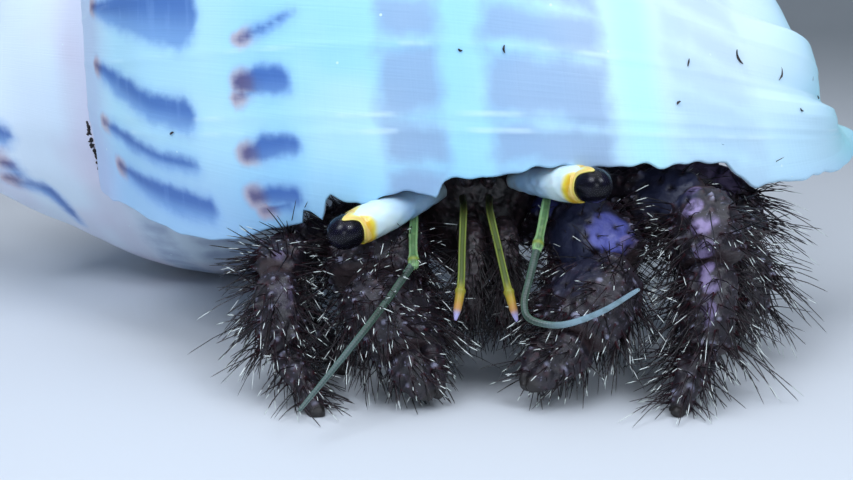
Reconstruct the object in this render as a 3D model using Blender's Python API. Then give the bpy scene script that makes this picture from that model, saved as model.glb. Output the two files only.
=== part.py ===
"""Hermit crab (blue-knee type) looking out of a thin-lipped tun shell.

A life-size still model.  World frame: +Z up, floor at Z = 0, the crab faces
-Y, its mid-plane is X = 0 and its right side is -X.  All driving sizes below
are in millimetres and are turned to metres when the meshes are made.
"""
import math

import bmesh
import bpy
import numpy as np
from mathutils import Matrix

MM = 0.001
GAP = 0.30                     # clearance left between neighbouring plates

# ---------------------------------------------------------------- shell -----
# The shell is a logarithmic spiral: one profile (axial height h, radius r)
# is turned about the shell's axis and grows by WHORL_RATIO every full turn.
WHORL_RATIO = 1.98
BODY_RADIUS = 41.0             # largest radius of the body whorl at the lip
H_PERIPHERY = 69.9             # axial place of that largest radius
H_SUTURE = 32.34               # axial place of the suture at the lip
H_END = 108.85                 # axial place of the siphonal end at the lip
R_END = 4.0                    # profile radius at the siphonal end
E_BACK, E_FRONT = 1.07, 1.05   # roundness of the two halves of the profile
# ridge round the siphonal end: its place and width along the profile in degrees,
# and its height in mm at turns (radians) back from the lip
RIDGE_AT, RIDGE_WIDTH, RIDGE_LEAN = 156.0, 13.0, 0.35
RIDGE_TURNS = (-1.4, -0.9, -0.62, -0.44, -0.36, -0.16, 0.0)
RIDGE_MM = (3.9, 3.7, 4.5, 2.1, 3.7, 0.8, 0.0)
APEX = np.array([-66.07, 46.25, 26.73])
AXIS_ROLL, AXIS_YAW, LIP_TURN = 4.22, 7.35, 13.98      # degrees
LIP_SWEEP_1, LIP_SWEEP_2 = 0.159, 0.081                # radians of lip slant
CHIP_DEPTH = 0.078             # radians of lip broken away above the eyes
CHIP_FROM, CHIP_TO = (62.0, 80.0), (130.0, 134.0)      # degrees along the lip
BITE_DEPTH, BITE_AT, BITE_WIDTH = 0.060, 30.0, 11.0    # a second break, over the right claw
WALL, LIP_WALL = 1.5, 1.0
LIP_BLEND, LIP_THINNING = 0.7, 0.5      # radians over which the lip's slant and its edge set in
WALL_START, WALL_JOIN = 0.10, 0.04      # radians of the open turn inside the core and past it
SUTURE_TUCK = 0.5              # how far the open turn's first edge sinks into the core
STEPS_PER_TURN = 32
LIP_ZONE, LIP_STEPS = -0.9, 8  # closer steps over the last radians before the lip
ROWS_BACK, ROWS_FRONT = 9, 10  # rows of facets behind and before the periphery
SPIRE_TURNS = 4
CORE_OVERRUN = 0.30            # radians by which the core passes the lip line
COLUMELLA_FROM, COLUMELLA_TO = 47.0, 99.0
COLUMELLA_COVER, COLUMELLA_SWELL = 0.9, 1.0    # over the wall's inner edge; at its middle
COLUMELLA_TAPER = 0.52         # share of its length after which it draws to a point
COLUMELLA_DRAW, COLUMELLA_POWER = 0.94, 1.5    # how far and how late it draws in
COLUMELLA_LEAN = 0.18          # how much fuller it is where the wall's edge runs
FLOOR_CUT = 6.0                # depth of the block that cuts the resting flat
# The sizes in this file are laid out from the crab's eyes.  The model's
# origin is the middle of its box on the floor, this far from the eyes.
ORIGIN = np.array([-12.1, 26.2, 0.0])

# ---------------------------------------------------------------- body ------
# Joint positions (X, Y, Z) from the body outwards; then, for every segment,
# its widest width and its thickness.
TOE_HEIGHT = 0.28              # middle of a toe above the floor it stands on
LIMBS = {
    "cheliped_right": dict(
        joints=[(-4.4, 8.8, 11.3), (-8.0, 4.4, 12.2), (-9.4, -0.6, 9.0),
                (-5.6, -5.0, 4.3), (-3.6, -7.2, 1.1)],
        sizes=[(4.2, 4.2), (6.4, 5.6), (7.4, 5.4), (4.8, 3.0)],
        names=("merus", "carpus", "palm", "fingers")),
    "cheliped_left": dict(
        joints=[(4.4, 8.8, 11.6), (8.7, 5.2, 13.6), (11.1, 0.2, 10.0),
                (7.6, -4.6, 5.2), (3.6, -7.6, 2.0)],
        sizes=[(4.6, 4.8), (7.4, 6.4), (8.2, 6.0), (4.8, 3.2)],
        names=("merus", "carpus", "palm", "fingers")),
    "leg_2_right": dict(
        joints=[(-5.2, 12.4, 11.8), (-15.9, 4.8, 11.0), (-17.0, -0.6, 9.7),
                (-16.4, -3.6, 3.7), (-12.6, -8.8, TOE_HEIGHT)],
        sizes=[(3.2, 3.6), (3.6, 3.6), (3.6, 3.6), (2.2, 2.2)],
        names=("merus", "carpus", "propodus", "dactyl")),
    "leg_2_left": dict(
        joints=[(5.6, 13.0, 12.0), (18.9, 3.0, 15.4), (19.5, -1.0, 10.8),
                (18.9, -3.8, 3.9), (15.4, -8.8, TOE_HEIGHT)],
        sizes=[(3.6, 4.0), (5.2, 4.6), (4.8, 4.2), (2.5, 2.5)],
        names=("merus", "carpus", "propodus", "dactyl")),
    "leg_3_right": dict(
        joints=[(-5.4, 16.2, 12.4), (-15.4, 15.4, 10.2), (-17.2, 12.0, 7.6),
                (-15.6, 7.2, 3.2), (-11.2, 2.0, TOE_HEIGHT)],
        sizes=[(3.0, 3.2), (3.0, 3.0), (2.8, 3.0), (1.8, 2.0)],
        names=("merus", "carpus", "propodus", "dactyl")),
    "leg_3_left": dict(
        joints=[(5.4, 16.4, 12.8), (22.4, 12.4, 13.6), (24.6, 8.8, 10.4),
                (25.0, 6.8, 4.3), (24.4, 13.8, TOE_HEIGHT)],
        sizes=[(3.4, 3.6), (3.8, 3.6), (3.4, 3.4), (2.0, 2.2)],
        names=("merus", "carpus", "propodus", "dactyl")),
}
# the small fourth and fifth legs hold the crab in its shell
SMALL_LEGS = {
    "leg_4_right": [(-5.0, 19.4, 15.0), (-8.6, 20.4, 17.6), (-11.8, 17.4, 20.6)],
    "leg_4_left": [(5.0, 19.4, 15.4), (8.8, 20.4, 18.0), (12.2, 17.4, 20.8)],
    "leg_5_right": [(-4.4, 20.6, 18.8), (-7.0, 22.4, 22.0), (-9.2, 20.4, 25.0)],
    "leg_5_left": [(4.4, 20.6, 19.2), (7.2, 22.4, 22.2), (9.6, 20.4, 25.2)],
}
SMALL_LEG_DIAMETERS = 2.0, 1.2

EYE_RIGHT = ((-2.9, 2.9, 16.4), (-12.2, -4.4, 13.5))    # base, tip of cornea
EYE_LEFT = ((2.9, 2.9, 17.1), (10.4, -4.6, 17.8))
CORNEA, CORNEA_LENGTH = 3.1, 2.9        # its diameter and length
# outlines of the stalk and of the cornea: shares of length, shares of CORNEA
STALK_OUTLINE = ((0.0, 0.12, 0.35, 0.60, 0.80, 0.92, 1.0),
                 (0.40, 0.57, 0.73, 0.83, 0.92, 0.97, 0.98))
CORNEA_OUTLINE = ((0.0, 0.14, 0.34, 0.56, 0.76, 0.92, 1.0),
                  (0.83, 0.95, 1.0, 0.96, 0.80, 0.50, 0.20))

ANTENNULES = {
    "antennule_right": [(-1.2, 3.1, 15.5), (-1.2, 0.4, 15.0), (-1.55, -5.6, 9.9), (-2.0, -7.0, 7.5)],
    "antennule_left": [(1.1, 3.1, 15.5), (1.0, 0.4, 15.0), (2.2, -5.6, 9.9), (2.9, -7.0, 7.4)],
}
ANTENNULE_DIAMETERS = 0.95, 0.7
PEDUNCLES = {
    "antenna_peduncle_right": [(-5.3, 0.4, 13.5), (-5.45, -1.9, 12.8), (-5.35, -4.0, 11.5)],
    "antenna_peduncle_left": [(5.6, 0.2, 14.9), (5.3, -1.8, 14.3), (4.7, -4.0, 12.9)],
}
PEDUNCLE_DIAMETERS = 1.35, 1.0
FLAGELLA = {
    "antenna_flagellum_right": [(-5.35, -4.0, 11.5), (-7.6, -7.6, 9.0),
                                (-10.6, -11.8, 6.0), (-13.6, -16.0, 3.2)],
    "antenna_flagellum_left": [(4.7, -4.0, 12.9), (3.9, -6.2, 10.7), (3.4, -7.6, 9.0),
                               (3.9, -8.6, 8.0), (6.1, -9.8, 7.9), (8.8, -12.0, 9.5),
                               (11.1, -15.0, 12.0)],
}
FLAGELLUM_DIAMETERS = 0.95, 0.6
MAXILLIPEDS = {
    "maxilliped_right": [(-0.6, 3.2, 13.2), (-0.5, 0.0, 12.2), (-0.4, -1.7, 8.8), (-0.6, -1.4, 5.4)],
    "maxilliped_left": [(2.2, 3.2, 13.2), (2.3, 0.0, 12.2), (2.4, -1.7, 8.8), (2.3, -1.4, 5.4)],
}
MAXILLIPED_DIAMETERS = 2.2, 1.4
FLAGELLUM_SKIP = 0.45          # mm of clearance between a stem and its whip
FEELER_SPREAD = 4.0            # mm; a feeler that strays farther sideways has rings that stand up
# scale at an eyestalk's root: lengths forward, half widths, its middle height and side place
ACICLE_AT, ACICLE_HALF = (3.2, 2.2, 0.9, -0.5), (0.45, 0.62, 0.60, 0.28)
ACICLE_SIDE, ACICLE_HEIGHT, ACICLE_SLOPE, ACICLE_TALL = 0.86, 17.2, 0.15, 1.2

SHIELD_FRONT, SHIELD_BACK = 3.6, 19.2
SHIELD_WIDTH, SHIELD_TOP, SHIELD_BOTTOM = 11.6, 19.6, 10.2
# shares of the shield's length, width and height from front to back
SHIELD_OUTLINE = ((0.0, 0.08, 0.25, 0.5, 0.75, 0.93, 1.0),
                  (0.50, 0.74, 0.94, 1.0, 0.98, 0.86, 0.62),
                  (0.45, 0.72, 0.94, 1.0, 1.0, 0.88, 0.62))
SHIELD_RISE, SHIELD_TOP_DROP, SHIELD_LOW_LIFT = 1.6, 2.0, 4.6   # mm: hind end up; front rounded
BREAST_SHARE = 0.5             # the breast's width as a share of the shield's
BREAST_LOW, BREAST_SPREAD = 1.0, 0.62       # where it begins to widen (mm), over what share
ABDOMEN_FROM, ABDOMEN_TO = -0.40, -3.1      # radians back along the whorl
ABDOMEN_RADIUS, ABDOMEN_TIP = 5.6, 2.0
ABDOMEN_R, ABDOMEN_H = 31.0, 64.0           # spiral radius and axial place
ABDOMEN_ENDS = 0.72, 0.6                    # its first and last rings are drawn in
DACTYL_BOW, DACTYL_LOW = 0.7, 0.12          # mm the last joint bows up, and its heel's rise
DACTYL_HEEL = 0.84                          # where its heel lies along it
DACTYL_TIP, DACTYL_POWER = 0.36, 2.2        # thickness at its tip; how late it thins
PLATE_UP = np.array([0.0, 0.35, 1.0])       # roughly the back of every limb plate


# ------------------------------------------------------------- materials ----
def hex_rgba(text):
    parts = [int(text[i:i + 2], 16) / 255 for i in (0, 2, 4)]
    return [c / 12.92 if c <= 0.04045 else ((c + 0.055) / 1.055) ** 2.4
            for c in parts] + [1.0]


def material(name, colour, roughness, metallic=0.0):
    mat = bpy.data.materials.new(name)
    mat.use_nodes = True
    bsdf = mat.node_tree.nodes["Principled BSDF"]
    bsdf.inputs["Base Color"].default_value = hex_rgba(colour)
    bsdf.inputs["Roughness"].default_value = roughness
    bsdf.inputs["Metallic"].default_value = metallic
    mat.diffuse_color = hex_rgba(colour)
    return mat


# --------------------------------------------------------------- meshes -----
def new_object(name, verts, faces, mat, smooth=True):
    mesh = bpy.data.meshes.new(name)
    mesh.from_pydata([tuple(float(c) * MM for c in np.asarray(v) - ORIGIN) for v in verts], [],
                     [tuple(int(i) for i in f) for f in faces])
    bm = bmesh.new()
    bm.from_mesh(mesh)
    bmesh.ops.remove_doubles(bm, verts=bm.verts, dist=1e-6)
    bmesh.ops.dissolve_degenerate(bm, edges=bm.edges, dist=1e-6)
    bmesh.ops.recalc_face_normals(bm, faces=bm.faces)
    bm.to_mesh(mesh)
    bm.free()
    mesh.materials.append(mat)
    if smooth:
        mesh.shade_smooth()
        mesh.set_sharp_from_angle(angle=math.radians(50))
    obj = bpy.data.objects.new(name, mesh)
    bpy.context.scene.collection.objects.link(obj)
    return obj


def unit(v):
    v = np.asarray(v, float)
    return v / np.linalg.norm(v)


def rings_to_mesh(rings):
    """Quads between neighbouring rings and a fan over each open end."""
    n = len(rings[0])
    verts = np.concatenate(rings)
    faces = []
    for i in range(len(rings) - 1):
        for j in range(n):
            k = (j + 1) % n
            faces.append((i * n + j, i * n + k, (i + 1) * n + k, (i + 1) * n + j))
    first, last = np.mean(rings[0], axis=0), np.mean(rings[-1], axis=0)
    a, b = len(verts), len(verts) + 1
    verts = np.concatenate([verts, [first], [last]])
    top = (len(rings) - 1) * n
    for j in range(n):
        k = (j + 1) % n
        faces.append((a, k, j))
        faces.append((b, top + j, top + k))
    return verts, faces


def tube_rings(path, widths, heights, up, sides):
    """Elliptical rings square to a path; up fixes the thickness direction."""
    path = np.asarray(path, float)
    tangent = np.gradient(path, axis=0)
    rings = []
    for p, t, w, h in zip(path, tangent, widths, heights):
        t = unit(t)
        side = unit(np.cross(t, up))
        rise = np.cross(side, t)
        a = 2 * np.pi * (np.arange(sides) + 0.5) / sides
        rings.append(p + np.outer(np.cos(a) * w / 2, side)
                     + np.outer(np.sin(a) * h / 2, rise))
    return rings


def smooth_path(points, count):
    """Points on a Catmull-Rom curve through the given ones."""
    p = np.asarray(points, float)
    p = np.vstack([2 * p[0] - p[1], p, 2 * p[-1] - p[-2]])
    s = np.linspace(0, len(points) - 1, count)
    out = []
    for v in s:
        i = min(int(v), len(points) - 2)
        f = v - i
        a, b, c, d = p[i:i + 4]
        out.append(0.5 * (2 * b + (c - a) * f + (2 * a - 5 * b + 4 * c - d) * f * f
                          + (3 * b - a - 3 * c + d) * f ** 3))
    return np.array(out)


def segment(start, end, n_start, n_end, size, swell, tip, sides=8):
    """One limb plate between two joint planes.

    Rings follow the straight line between the joints.  Vertices that pass a
    joint's plane, less half the clearance, are put back on it.
    """
    start, end = np.array(start, float), np.array(end, float)
    axis = unit(end - start)
    up = unit(PLATE_UP - axis * axis[2])
    fractions, scale = swell
    width, height = size
    path = start + np.outer(fractions, end - start)
    rings = tube_rings(path, np.array(scale) * width, np.array(scale) * height,
                       up, sides)
    out = []
    for ring in rings:
        if n_start is not None:
            s = (ring - start) @ n_start - GAP / 2
            ring = ring - np.outer(np.minimum(s, 0), n_start)
        if n_end is not None:
            s = (ring - end) @ n_end + GAP / 2
            ring = ring - np.outer(np.maximum(s, 0), n_end)
        out.append(ring)
    if tip:
        out = [np.column_stack([r[:, :2], np.maximum(r[:, 2], 0.0)]) for r in out]
    return rings_to_mesh(out)


SWELL_MERUS = ((0.0, 0.10, 0.35, 0.65, 0.88, 1.0), (0.62, 0.80, 0.95, 1.0, 0.92, 0.70))
SWELL_CARPUS = ((0.0, 0.16, 0.40, 0.66, 0.86, 1.0), (0.66, 0.88, 1.0, 1.0, 0.92, 0.72))
SWELL_PALM = ((0.0, 0.12, 0.34, 0.62, 0.86, 1.0), (0.62, 0.84, 1.0, 1.0, 0.86, 0.66))
SWELL_TIP = ((0.0, 0.12, 0.34, 0.60, 0.82, 1.0), (0.82, 0.96, 1.0, 0.82, 0.58, 0.30))
FINGER_OUTLINE = ((0.0, 0.14, 0.36, 0.62, 0.84, 1.0), (0.80, 1.0, 0.98, 0.80, 0.56, 0.34))
FINGER_SPLAY = 1.02            # how far a finger's middle line keeps from its fellow's


def build_limb(prefix, spec, mats):
    joints = [np.array(p, float) for p in spec["joints"]]
    dirs = [unit(b - a) for a, b in zip(joints[:-1], joints[1:])]
    planes = [dirs[0]]
    for a, b in zip(dirs[:-1], dirs[1:]):
        planes.append(unit(a + b))
    planes.append(None)
    swells = (SWELL_MERUS, SWELL_CARPUS, SWELL_PALM, SWELL_TIP)
    for i, part in enumerate(spec["names"]):
        last = i == len(spec["names"]) - 1
        if last and part == "dactyl":
            # the last joint bends down to the floor in a gentle curve
            tip = joints[i + 1]
            mid = (joints[i] + tip) / 2 + np.array([0, 0, DACTYL_BOW])
            near = joints[i] + DACTYL_HEEL * (tip - joints[i])
            near[2] = tip[2] + DACTYL_LOW
            path = smooth_path([joints[i], mid, near, tip], 9)
            f = np.linspace(0, 1, 9)
            scale = DACTYL_TIP + (1 - DACTYL_TIP) * (1 - f ** DACTYL_POWER)
            up = np.array([0.0, 0.0, 1.0])
            rings = tube_rings(path, scale * spec["sizes"][i][0],
                               scale * spec["sizes"][i][1], up, 8)
            out = []
            for ring in rings:
                s = (ring - joints[i]) @ planes[i] - GAP / 2
                ring = ring - np.outer(np.minimum(s, 0), planes[i])
                out.append(np.column_stack([ring[:, :2], np.maximum(ring[:, 2], 0.0)]))
            verts, faces = rings_to_mesh(out)
        else:
            verts, faces = segment(joints[i], joints[i + 1], planes[i],
                                   planes[i + 1], spec["sizes"][i], swells[i], last)
        new_object(prefix + "_" + part, verts, faces, mats[i])


def build_claw_tips(prefix, spec, mats):
    """The two fingers of a claw side by side, parted by the clearance."""
    joints = [np.array(p, float) for p in spec["joints"]]
    palm_dir = unit(joints[3] - joints[2])
    axis = unit(joints[4] - joints[3])
    plane = unit(palm_dir + axis)
    side = unit(np.cross(axis, (0.0, 0.0, 1.0)))
    width, height = spec["sizes"][3]
    start, end = joints[3], joints[4]
    for name, sign in (("fixed_finger", -1.0), ("movable_finger", 1.0)):
        f, scale = np.array(FINGER_OUTLINE)
        half = width / 2 - GAP / 2
        offset = sign * (GAP / 2 + half * scale / 2 * FINGER_SPLAY)
        path = start + np.outer(f, end - start) + np.outer(offset, side)
        up = unit(PLATE_UP - axis * axis[2])
        rings = tube_rings(path, half * scale, height * scale, up, 8)
        out = []
        for ring in rings:
            s = (ring - start) @ plane - GAP / 2
            ring = ring - np.outer(np.minimum(s, 0), plane)
            s = (ring - start) @ side * sign - GAP / 2
            ring = ring - np.outer(np.minimum(s, 0), side * sign)
            out.append(np.column_stack([ring[:, :2], np.maximum(ring[:, 2], 0.0)]))
        verts, faces = rings_to_mesh(out)
        new_object(prefix + "_" + name, verts, faces, mats[3])


# ---------------------------------------------------------------- shell -----
def shell_axes():
    al, be, ps = (math.radians(v) for v in (AXIS_ROLL, AXIS_YAW, LIP_TURN))
    a = np.array([1.0, 0.0, 0.0])
    u1 = np.array([0.0, -math.cos(ps), -math.sin(ps)])
    u2 = np.cross(a, u1)
    yaw = np.array([[math.cos(be), math.sin(be), 0], [-math.sin(be), math.cos(be), 0],
                    [0, 0, 1]])
    roll = np.array([[math.cos(al), 0, math.sin(al)], [0, 1, 0],
                     [-math.sin(al), 0, math.cos(al)]])
    turn = roll @ yaw
    return turn @ a, turn @ u1, turn @ u2


GROWTH = math.log(WHORL_RATIO) / (2 * math.pi)
# angle along the profile at which the next whorl's suture lies, and the
# suture radius that makes the two meet exactly
COS_S = ((H_PERIPHERY - WHORL_RATIO * H_SUTURE) / (H_PERIPHERY - H_SUTURE)) ** (1 / E_BACK)
THETA_S = math.acos(COS_S)
SIN_S = math.sin(THETA_S) ** E_BACK
R_SUTURE = BODY_RADIUS * SIN_S / (WHORL_RATIO - 1 + SIN_S)


def profile(theta):
    c = np.abs(np.cos(theta))
    s = np.clip(np.sin(theta), 0, 1)
    back = theta <= math.pi / 2
    h = np.where(back, H_PERIPHERY - (H_PERIPHERY - H_SUTURE) * c ** E_BACK,
                 H_PERIPHERY + (H_END - H_PERIPHERY) * c ** E_FRONT)
    r = np.where(back, R_SUTURE + (BODY_RADIUS - R_SUTURE) * s ** E_BACK,
                 R_END + (BODY_RADIUS - R_END) * s ** E_FRONT)
    return h, r


def place(u, h, r):
    a, u1, u2 = shell_axes()
    e = np.exp(GROWTH * np.asarray(u, float))[..., None]
    c, s = np.cos(u)[..., None], np.sin(u)[..., None]
    return APEX + e * (np.asarray(h)[..., None] * a + np.asarray(r)[..., None] * (c * u1 + s * u2))


def step(x):
    x = np.clip(x, 0, 1)
    return x * x * (3 - 2 * x)


def bell(x):
    return np.exp(-np.square(x))


def surface(u, theta):
    """Profile point plus the ridge about the siphonal end, whose height changes with the turn."""
    u, theta = np.broadcast_arrays(np.asarray(u, float), np.asarray(theta, float))
    h, r = profile(theta)
    place_on_ridge = (np.degrees(theta) - RIDGE_AT) / RIDGE_WIDTH
    ridge = np.interp(u, RIDGE_TURNS, RIDGE_MM) * bell(place_on_ridge)
    return place(u, h + RIDGE_LEAN * ridge, r + ridge)


def lip_offset(theta):
    d = np.degrees(theta)
    chip = (step((d - CHIP_FROM[0]) / (CHIP_FROM[1] - CHIP_FROM[0]))
            - step((d - CHIP_TO[0]) / (CHIP_TO[1] - CHIP_TO[0])))
    bite = bell((d - BITE_AT) / BITE_WIDTH)
    return (LIP_SWEEP_1 * np.cos(theta) + LIP_SWEEP_2 * np.cos(2 * theta)
            - CHIP_DEPTH * chip - BITE_DEPTH * bite)


def theta_rows():
    back = np.linspace(0, THETA_S, ROWS_BACK)
    front = np.linspace(THETA_S, math.pi, ROWS_FRONT + 1)[1:]
    return np.concatenate([back, front])


def shell_core(mat):
    """Filled older whorls, one closed body, ending in a flat wall."""
    n = STEPS_PER_TURN
    rows = theta_rows()[::2]
    if abs(rows[(ROWS_BACK - 1) // 2] - THETA_S) > 1e-9:
        raise ValueError("the suture must fall on a row of the core")
    js = (ROWS_BACK - 1) // 2
    last = n * (SPIRE_TURNS - 1)
    u = -2 * math.pi + CORE_OVERRUN + (np.arange(last + 1) - last) * 2 * math.pi / n
    index, verts, faces = {}, [], []

    def vid(i, j):
        if j == 0 and i >= n:
            return vid(i - n, js)
        if (i, j) not in index:
            index[(i, j)] = len(verts)
            verts.append(surface(u[i], rows[j]))
        return index[(i, j)]

    for i in range(last):
        top = len(rows) - 1 if i >= last - n else js
        for j in range(top):
            faces.append((vid(i, j), vid(i + 1, j), vid(i + 1, j + 1), vid(i, j + 1)))
    # small end of the spire
    loop = [vid(i, 0) for i in range(n + 1)]
    loop += [vid(0, j) for j in range(js - 1, 0, -1)]
    centre = len(verts)
    verts.append(APEX + shell_axes()[0] * 0.80 * np.dot(verts[loop[0]] - APEX, shell_axes()[0]))
    loop = list(dict.fromkeys(loop))
    for k in range(len(loop)):
        faces.append((centre, loop[k], loop[(k + 1) % len(loop)]))
    # wall across the whorl where the open last turn begins
    first = last - n
    inner = [vid(first, j) for j in range(len(rows))]
    outer = [vid(last, j) for j in range(len(rows))]
    assert outer[0] == inner[js]
    ring = outer + inner[js + 1:][::-1]
    mid = len(verts)
    verts.append(np.mean([verts[k] for k in ring], axis=0))
    for k in range(len(ring)):
        a, b = ring[k], ring[(k + 1) % len(ring)]
        if a != b:
            faces.append((mid, a, b))
    # closing fan around the axis
    q = [vid(i, len(rows) - 1) for i in range(first, last + 1)]
    hub = len(verts)
    verts.append(APEX + shell_axes()[0] * np.dot(verts[q[len(q) // 2]] - APEX, shell_axes()[0]))
    for k in range(len(q)):
        faces.append((hub, q[k], q[(k + 1) % len(q)]))
    return new_object("shell_core_shape", verts, faces, mat)


def shell_wall(mat):
    """The open last turn: a wall of even thickness out to the lip."""
    rows = theta_rows()
    start = -2 * math.pi + CORE_OVERRUN - WALL_START
    join = -2 * math.pi + CORE_OVERRUN + WALL_JOIN
    s = np.concatenate([[start], np.linspace(join, LIP_ZONE, STEPS_PER_TURN - LIP_STEPS),
                        np.linspace(LIP_ZONE, 0, LIP_STEPS + 1)[1:]])
    blend = step((s + LIP_BLEND) / LIP_BLEND)[:, None]
    u = s[:, None] + blend * lip_offset(rows)[None]
    th = np.broadcast_to(rows, u.shape)
    outer = surface(u, th)
    d = 1e-4
    du = surface(u + d, th) - surface(u - d, th)
    tl, tr = np.clip(th - d, 0, math.pi), np.clip(th + d, 0, math.pi)
    dt = surface(u, tr) - surface(u, tl)
    normal = np.cross(dt, du)
    normal /= np.linalg.norm(normal, axis=-1, keepdims=True)
    a = shell_axes()[0]
    centre = APEX + ((outer - APEX) @ a)[..., None] * a
    flip = np.sum(normal * (outer - centre), axis=-1, keepdims=True)
    normal = np.where(flip[:, 1:2] < 0, -normal, normal)
    thin = step((s + LIP_THINNING) / LIP_THINNING)
    thick = (WALL + (LIP_WALL - WALL) * thin)[:, None, None]
    inner = outer - normal * thick
    # the suture edge and the first row are tucked into the core
    tuck = SUTURE_TUCK * (unit(a) - normal[:, 0])
    outer[:, 0] += tuck
    inner[:, 0] += tuck
    outer[0] -= normal[0] * GAP
    inner[0] -= normal[0] * GAP
    m, n = outer.shape[:2]
    verts = np.concatenate([outer.reshape(-1, 3), inner.reshape(-1, 3)])
    off = m * n
    faces = []
    for i in range(m - 1):
        for j in range(n - 1):
            faces.append((i * n + j, (i + 1) * n + j, (i + 1) * n + j + 1, i * n + j + 1))
            faces.append((off + i * n + j, off + i * n + j + 1,
                          off + (i + 1) * n + j + 1, off + (i + 1) * n + j))
    for i in range(m - 1):
        for j in (0, n - 1):
            p, q = i * n + j, (i + 1) * n + j
            quad = (p, off + p, off + q, q)
            faces.append(quad if j == 0 else quad[::-1])
    for j in range(n - 1):
        for i in (0, m - 1):
            p, q = i * n + j, i * n + j + 1
            quad = (p, q, off + q, off + p)
            faces.append(quad if i == 0 else quad[::-1])
    return new_object("shell_wall_shape", verts, faces, mat)


def shell_columella(mat):
    """The pillar that the open turn winds about."""
    a, u1, u2 = shell_axes()
    h = np.linspace(COLUMELLA_FROM, COLUMELLA_TO, 9)
    f = (h - COLUMELLA_FROM) / (COLUMELLA_TO - COLUMELLA_FROM)
    taper = np.clip((f - COLUMELLA_TAPER) / (1 - COLUMELLA_TAPER), 0, 1)
    r = R_END / H_END * h + COLUMELLA_COVER + COLUMELLA_SWELL * np.sin(np.pi * f) ** 2
    r *= np.sqrt(1 - COLUMELLA_DRAW * taper ** COLUMELLA_POWER)
    rings = []
    ang = 2 * np.pi * np.arange(12) / 12
    for hh, rr in zip(h, r):
        # the pillar is fuller on the side where the wall's edge runs
        turn = math.log(max(hh, 1.0) / H_END) / GROWTH
        rad = rr * (1 + COLUMELLA_LEAN * np.cos(ang - turn))
        rings.append(APEX + hh * a + np.outer(rad * np.cos(ang), u1)
                     + np.outer(rad * np.sin(ang), u2))
    return new_object("shell_columella_shape", *rings_to_mesh(rings), mat)


def build_shell(mat):
    core = shell_core(mat)
    core.name = "shell"
    for tool in (shell_wall(mat), shell_columella(mat)):
        mod = core.modifiers.new("join_" + tool.name, 'BOOLEAN')
        mod.operation, mod.solver, mod.object = 'UNION', 'EXACT', tool
        tool.hide_render = True
        tool.display_type = 'WIRE'
    bpy.ops.mesh.primitive_cube_add(size=1)
    block = bpy.context.object
    block.name = "floor_block"
    block.data.transform(floor_block_matrix())
    mod = core.modifiers.new("resting_flat", 'BOOLEAN')
    mod.operation, mod.solver, mod.object = 'DIFFERENCE', 'EXACT', block
    block.hide_render = True
    block.display_type = 'WIRE'
    return core


def floor_block_matrix():
    """Size and place of the block whose top face is the floor."""
    size = Matrix.Diagonal((0.2, 0.2, FLOOR_CUT * MM, 1.0))
    return Matrix.Translation((0.0, 0.0, -FLOOR_CUT * MM / 2)) @ size


# ------------------------------------------------------------ body parts ----
def build_shield(mat):
    """Cephalothorax: wide rounded shield above, narrower breast below."""
    a = 2 * np.pi * (np.arange(14) + 0.5) / 14
    rings = []
    for f, w, t in zip(*SHIELD_OUTLINE):
        yy = SHIELD_FRONT + f * (SHIELD_BACK - SHIELD_FRONT)
        top = SHIELD_TOP - SHIELD_TOP_DROP * (1 - t) + SHIELD_RISE * f
        low = SHIELD_BOTTOM + SHIELD_LOW_LIFT * (1 - t) + SHIELD_RISE * f
        zc, zh = (top + low) / 2, (top - low) / 2
        z = zc + zh * np.sin(a)
        # narrower below the legs' roots
        rise = np.clip((z - (low + BREAST_LOW)) / (BREAST_SPREAD * (top - low)), 0, 1)
        k = BREAST_SHARE + (1 - BREAST_SHARE) * rise
        x = SHIELD_WIDTH / 2 * w * np.cos(a) * k
        rings.append(np.column_stack([x, np.full(14, yy), z]))
    new_object("cephalothorax", *rings_to_mesh(rings), mat)


def build_abdomen(mat):
    u = np.linspace(ABDOMEN_FROM, ABDOMEN_TO, 13)
    path = place(u, np.full(13, ABDOMEN_H), np.full(13, ABDOMEN_R))
    f = np.linspace(0, 1, 13)
    r = ABDOMEN_RADIUS + (ABDOMEN_TIP - ABDOMEN_RADIUS) * f
    r[[0, -1]] *= ABDOMEN_ENDS
    rings = tube_rings(path, 2 * r, 2 * r, shell_axes()[0], 10)
    new_object("abdomen", *rings_to_mesh(rings), mat)


def build_eye(side, ends, mat_stalk, mat_eye):
    base, tip = (np.array(p, float) for p in ends)
    axis = unit(tip - base)
    stalk = np.linalg.norm(tip - base) - CORNEA_LENGTH
    f, share = np.array(STALK_OUTLINE)
    dia = CORNEA * share
    path = base + np.outer(f * (stalk - GAP / 2), axis)
    up = np.array([0.0, 0.0, 1.0])
    new_object("eyestalk_" + side, *rings_to_mesh(tube_rings(path, dia, dia, up, 12)),
               mat_stalk)
    f, share = np.array(CORNEA_OUTLINE)
    dome = CORNEA * share
    path = base + np.outer(stalk + GAP / 2 + f * (CORNEA_LENGTH - GAP / 2), axis)
    new_object("cornea_" + side, *rings_to_mesh(tube_rings(path, dome, dome, up, 12)),
               mat_eye)


def build_acicle(side, sign, mat):
    """Small scale at the root of an eyestalk."""
    a = 2 * np.pi * (np.arange(8) + 0.5) / 8
    rings = []
    for y, half in zip(ACICLE_AT, ACICLE_HALF):
        middle = ACICLE_HEIGHT + ACICLE_SLOPE * (ACICLE_AT[0] - y)
        rings.append(np.column_stack([sign * ACICLE_SIDE + half * np.cos(a), np.full(8, y),
                                      middle + ACICLE_TALL * half * np.sin(a)]))
    new_object("ocular_acicle_" + side, *rings_to_mesh(rings), mat)


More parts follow.
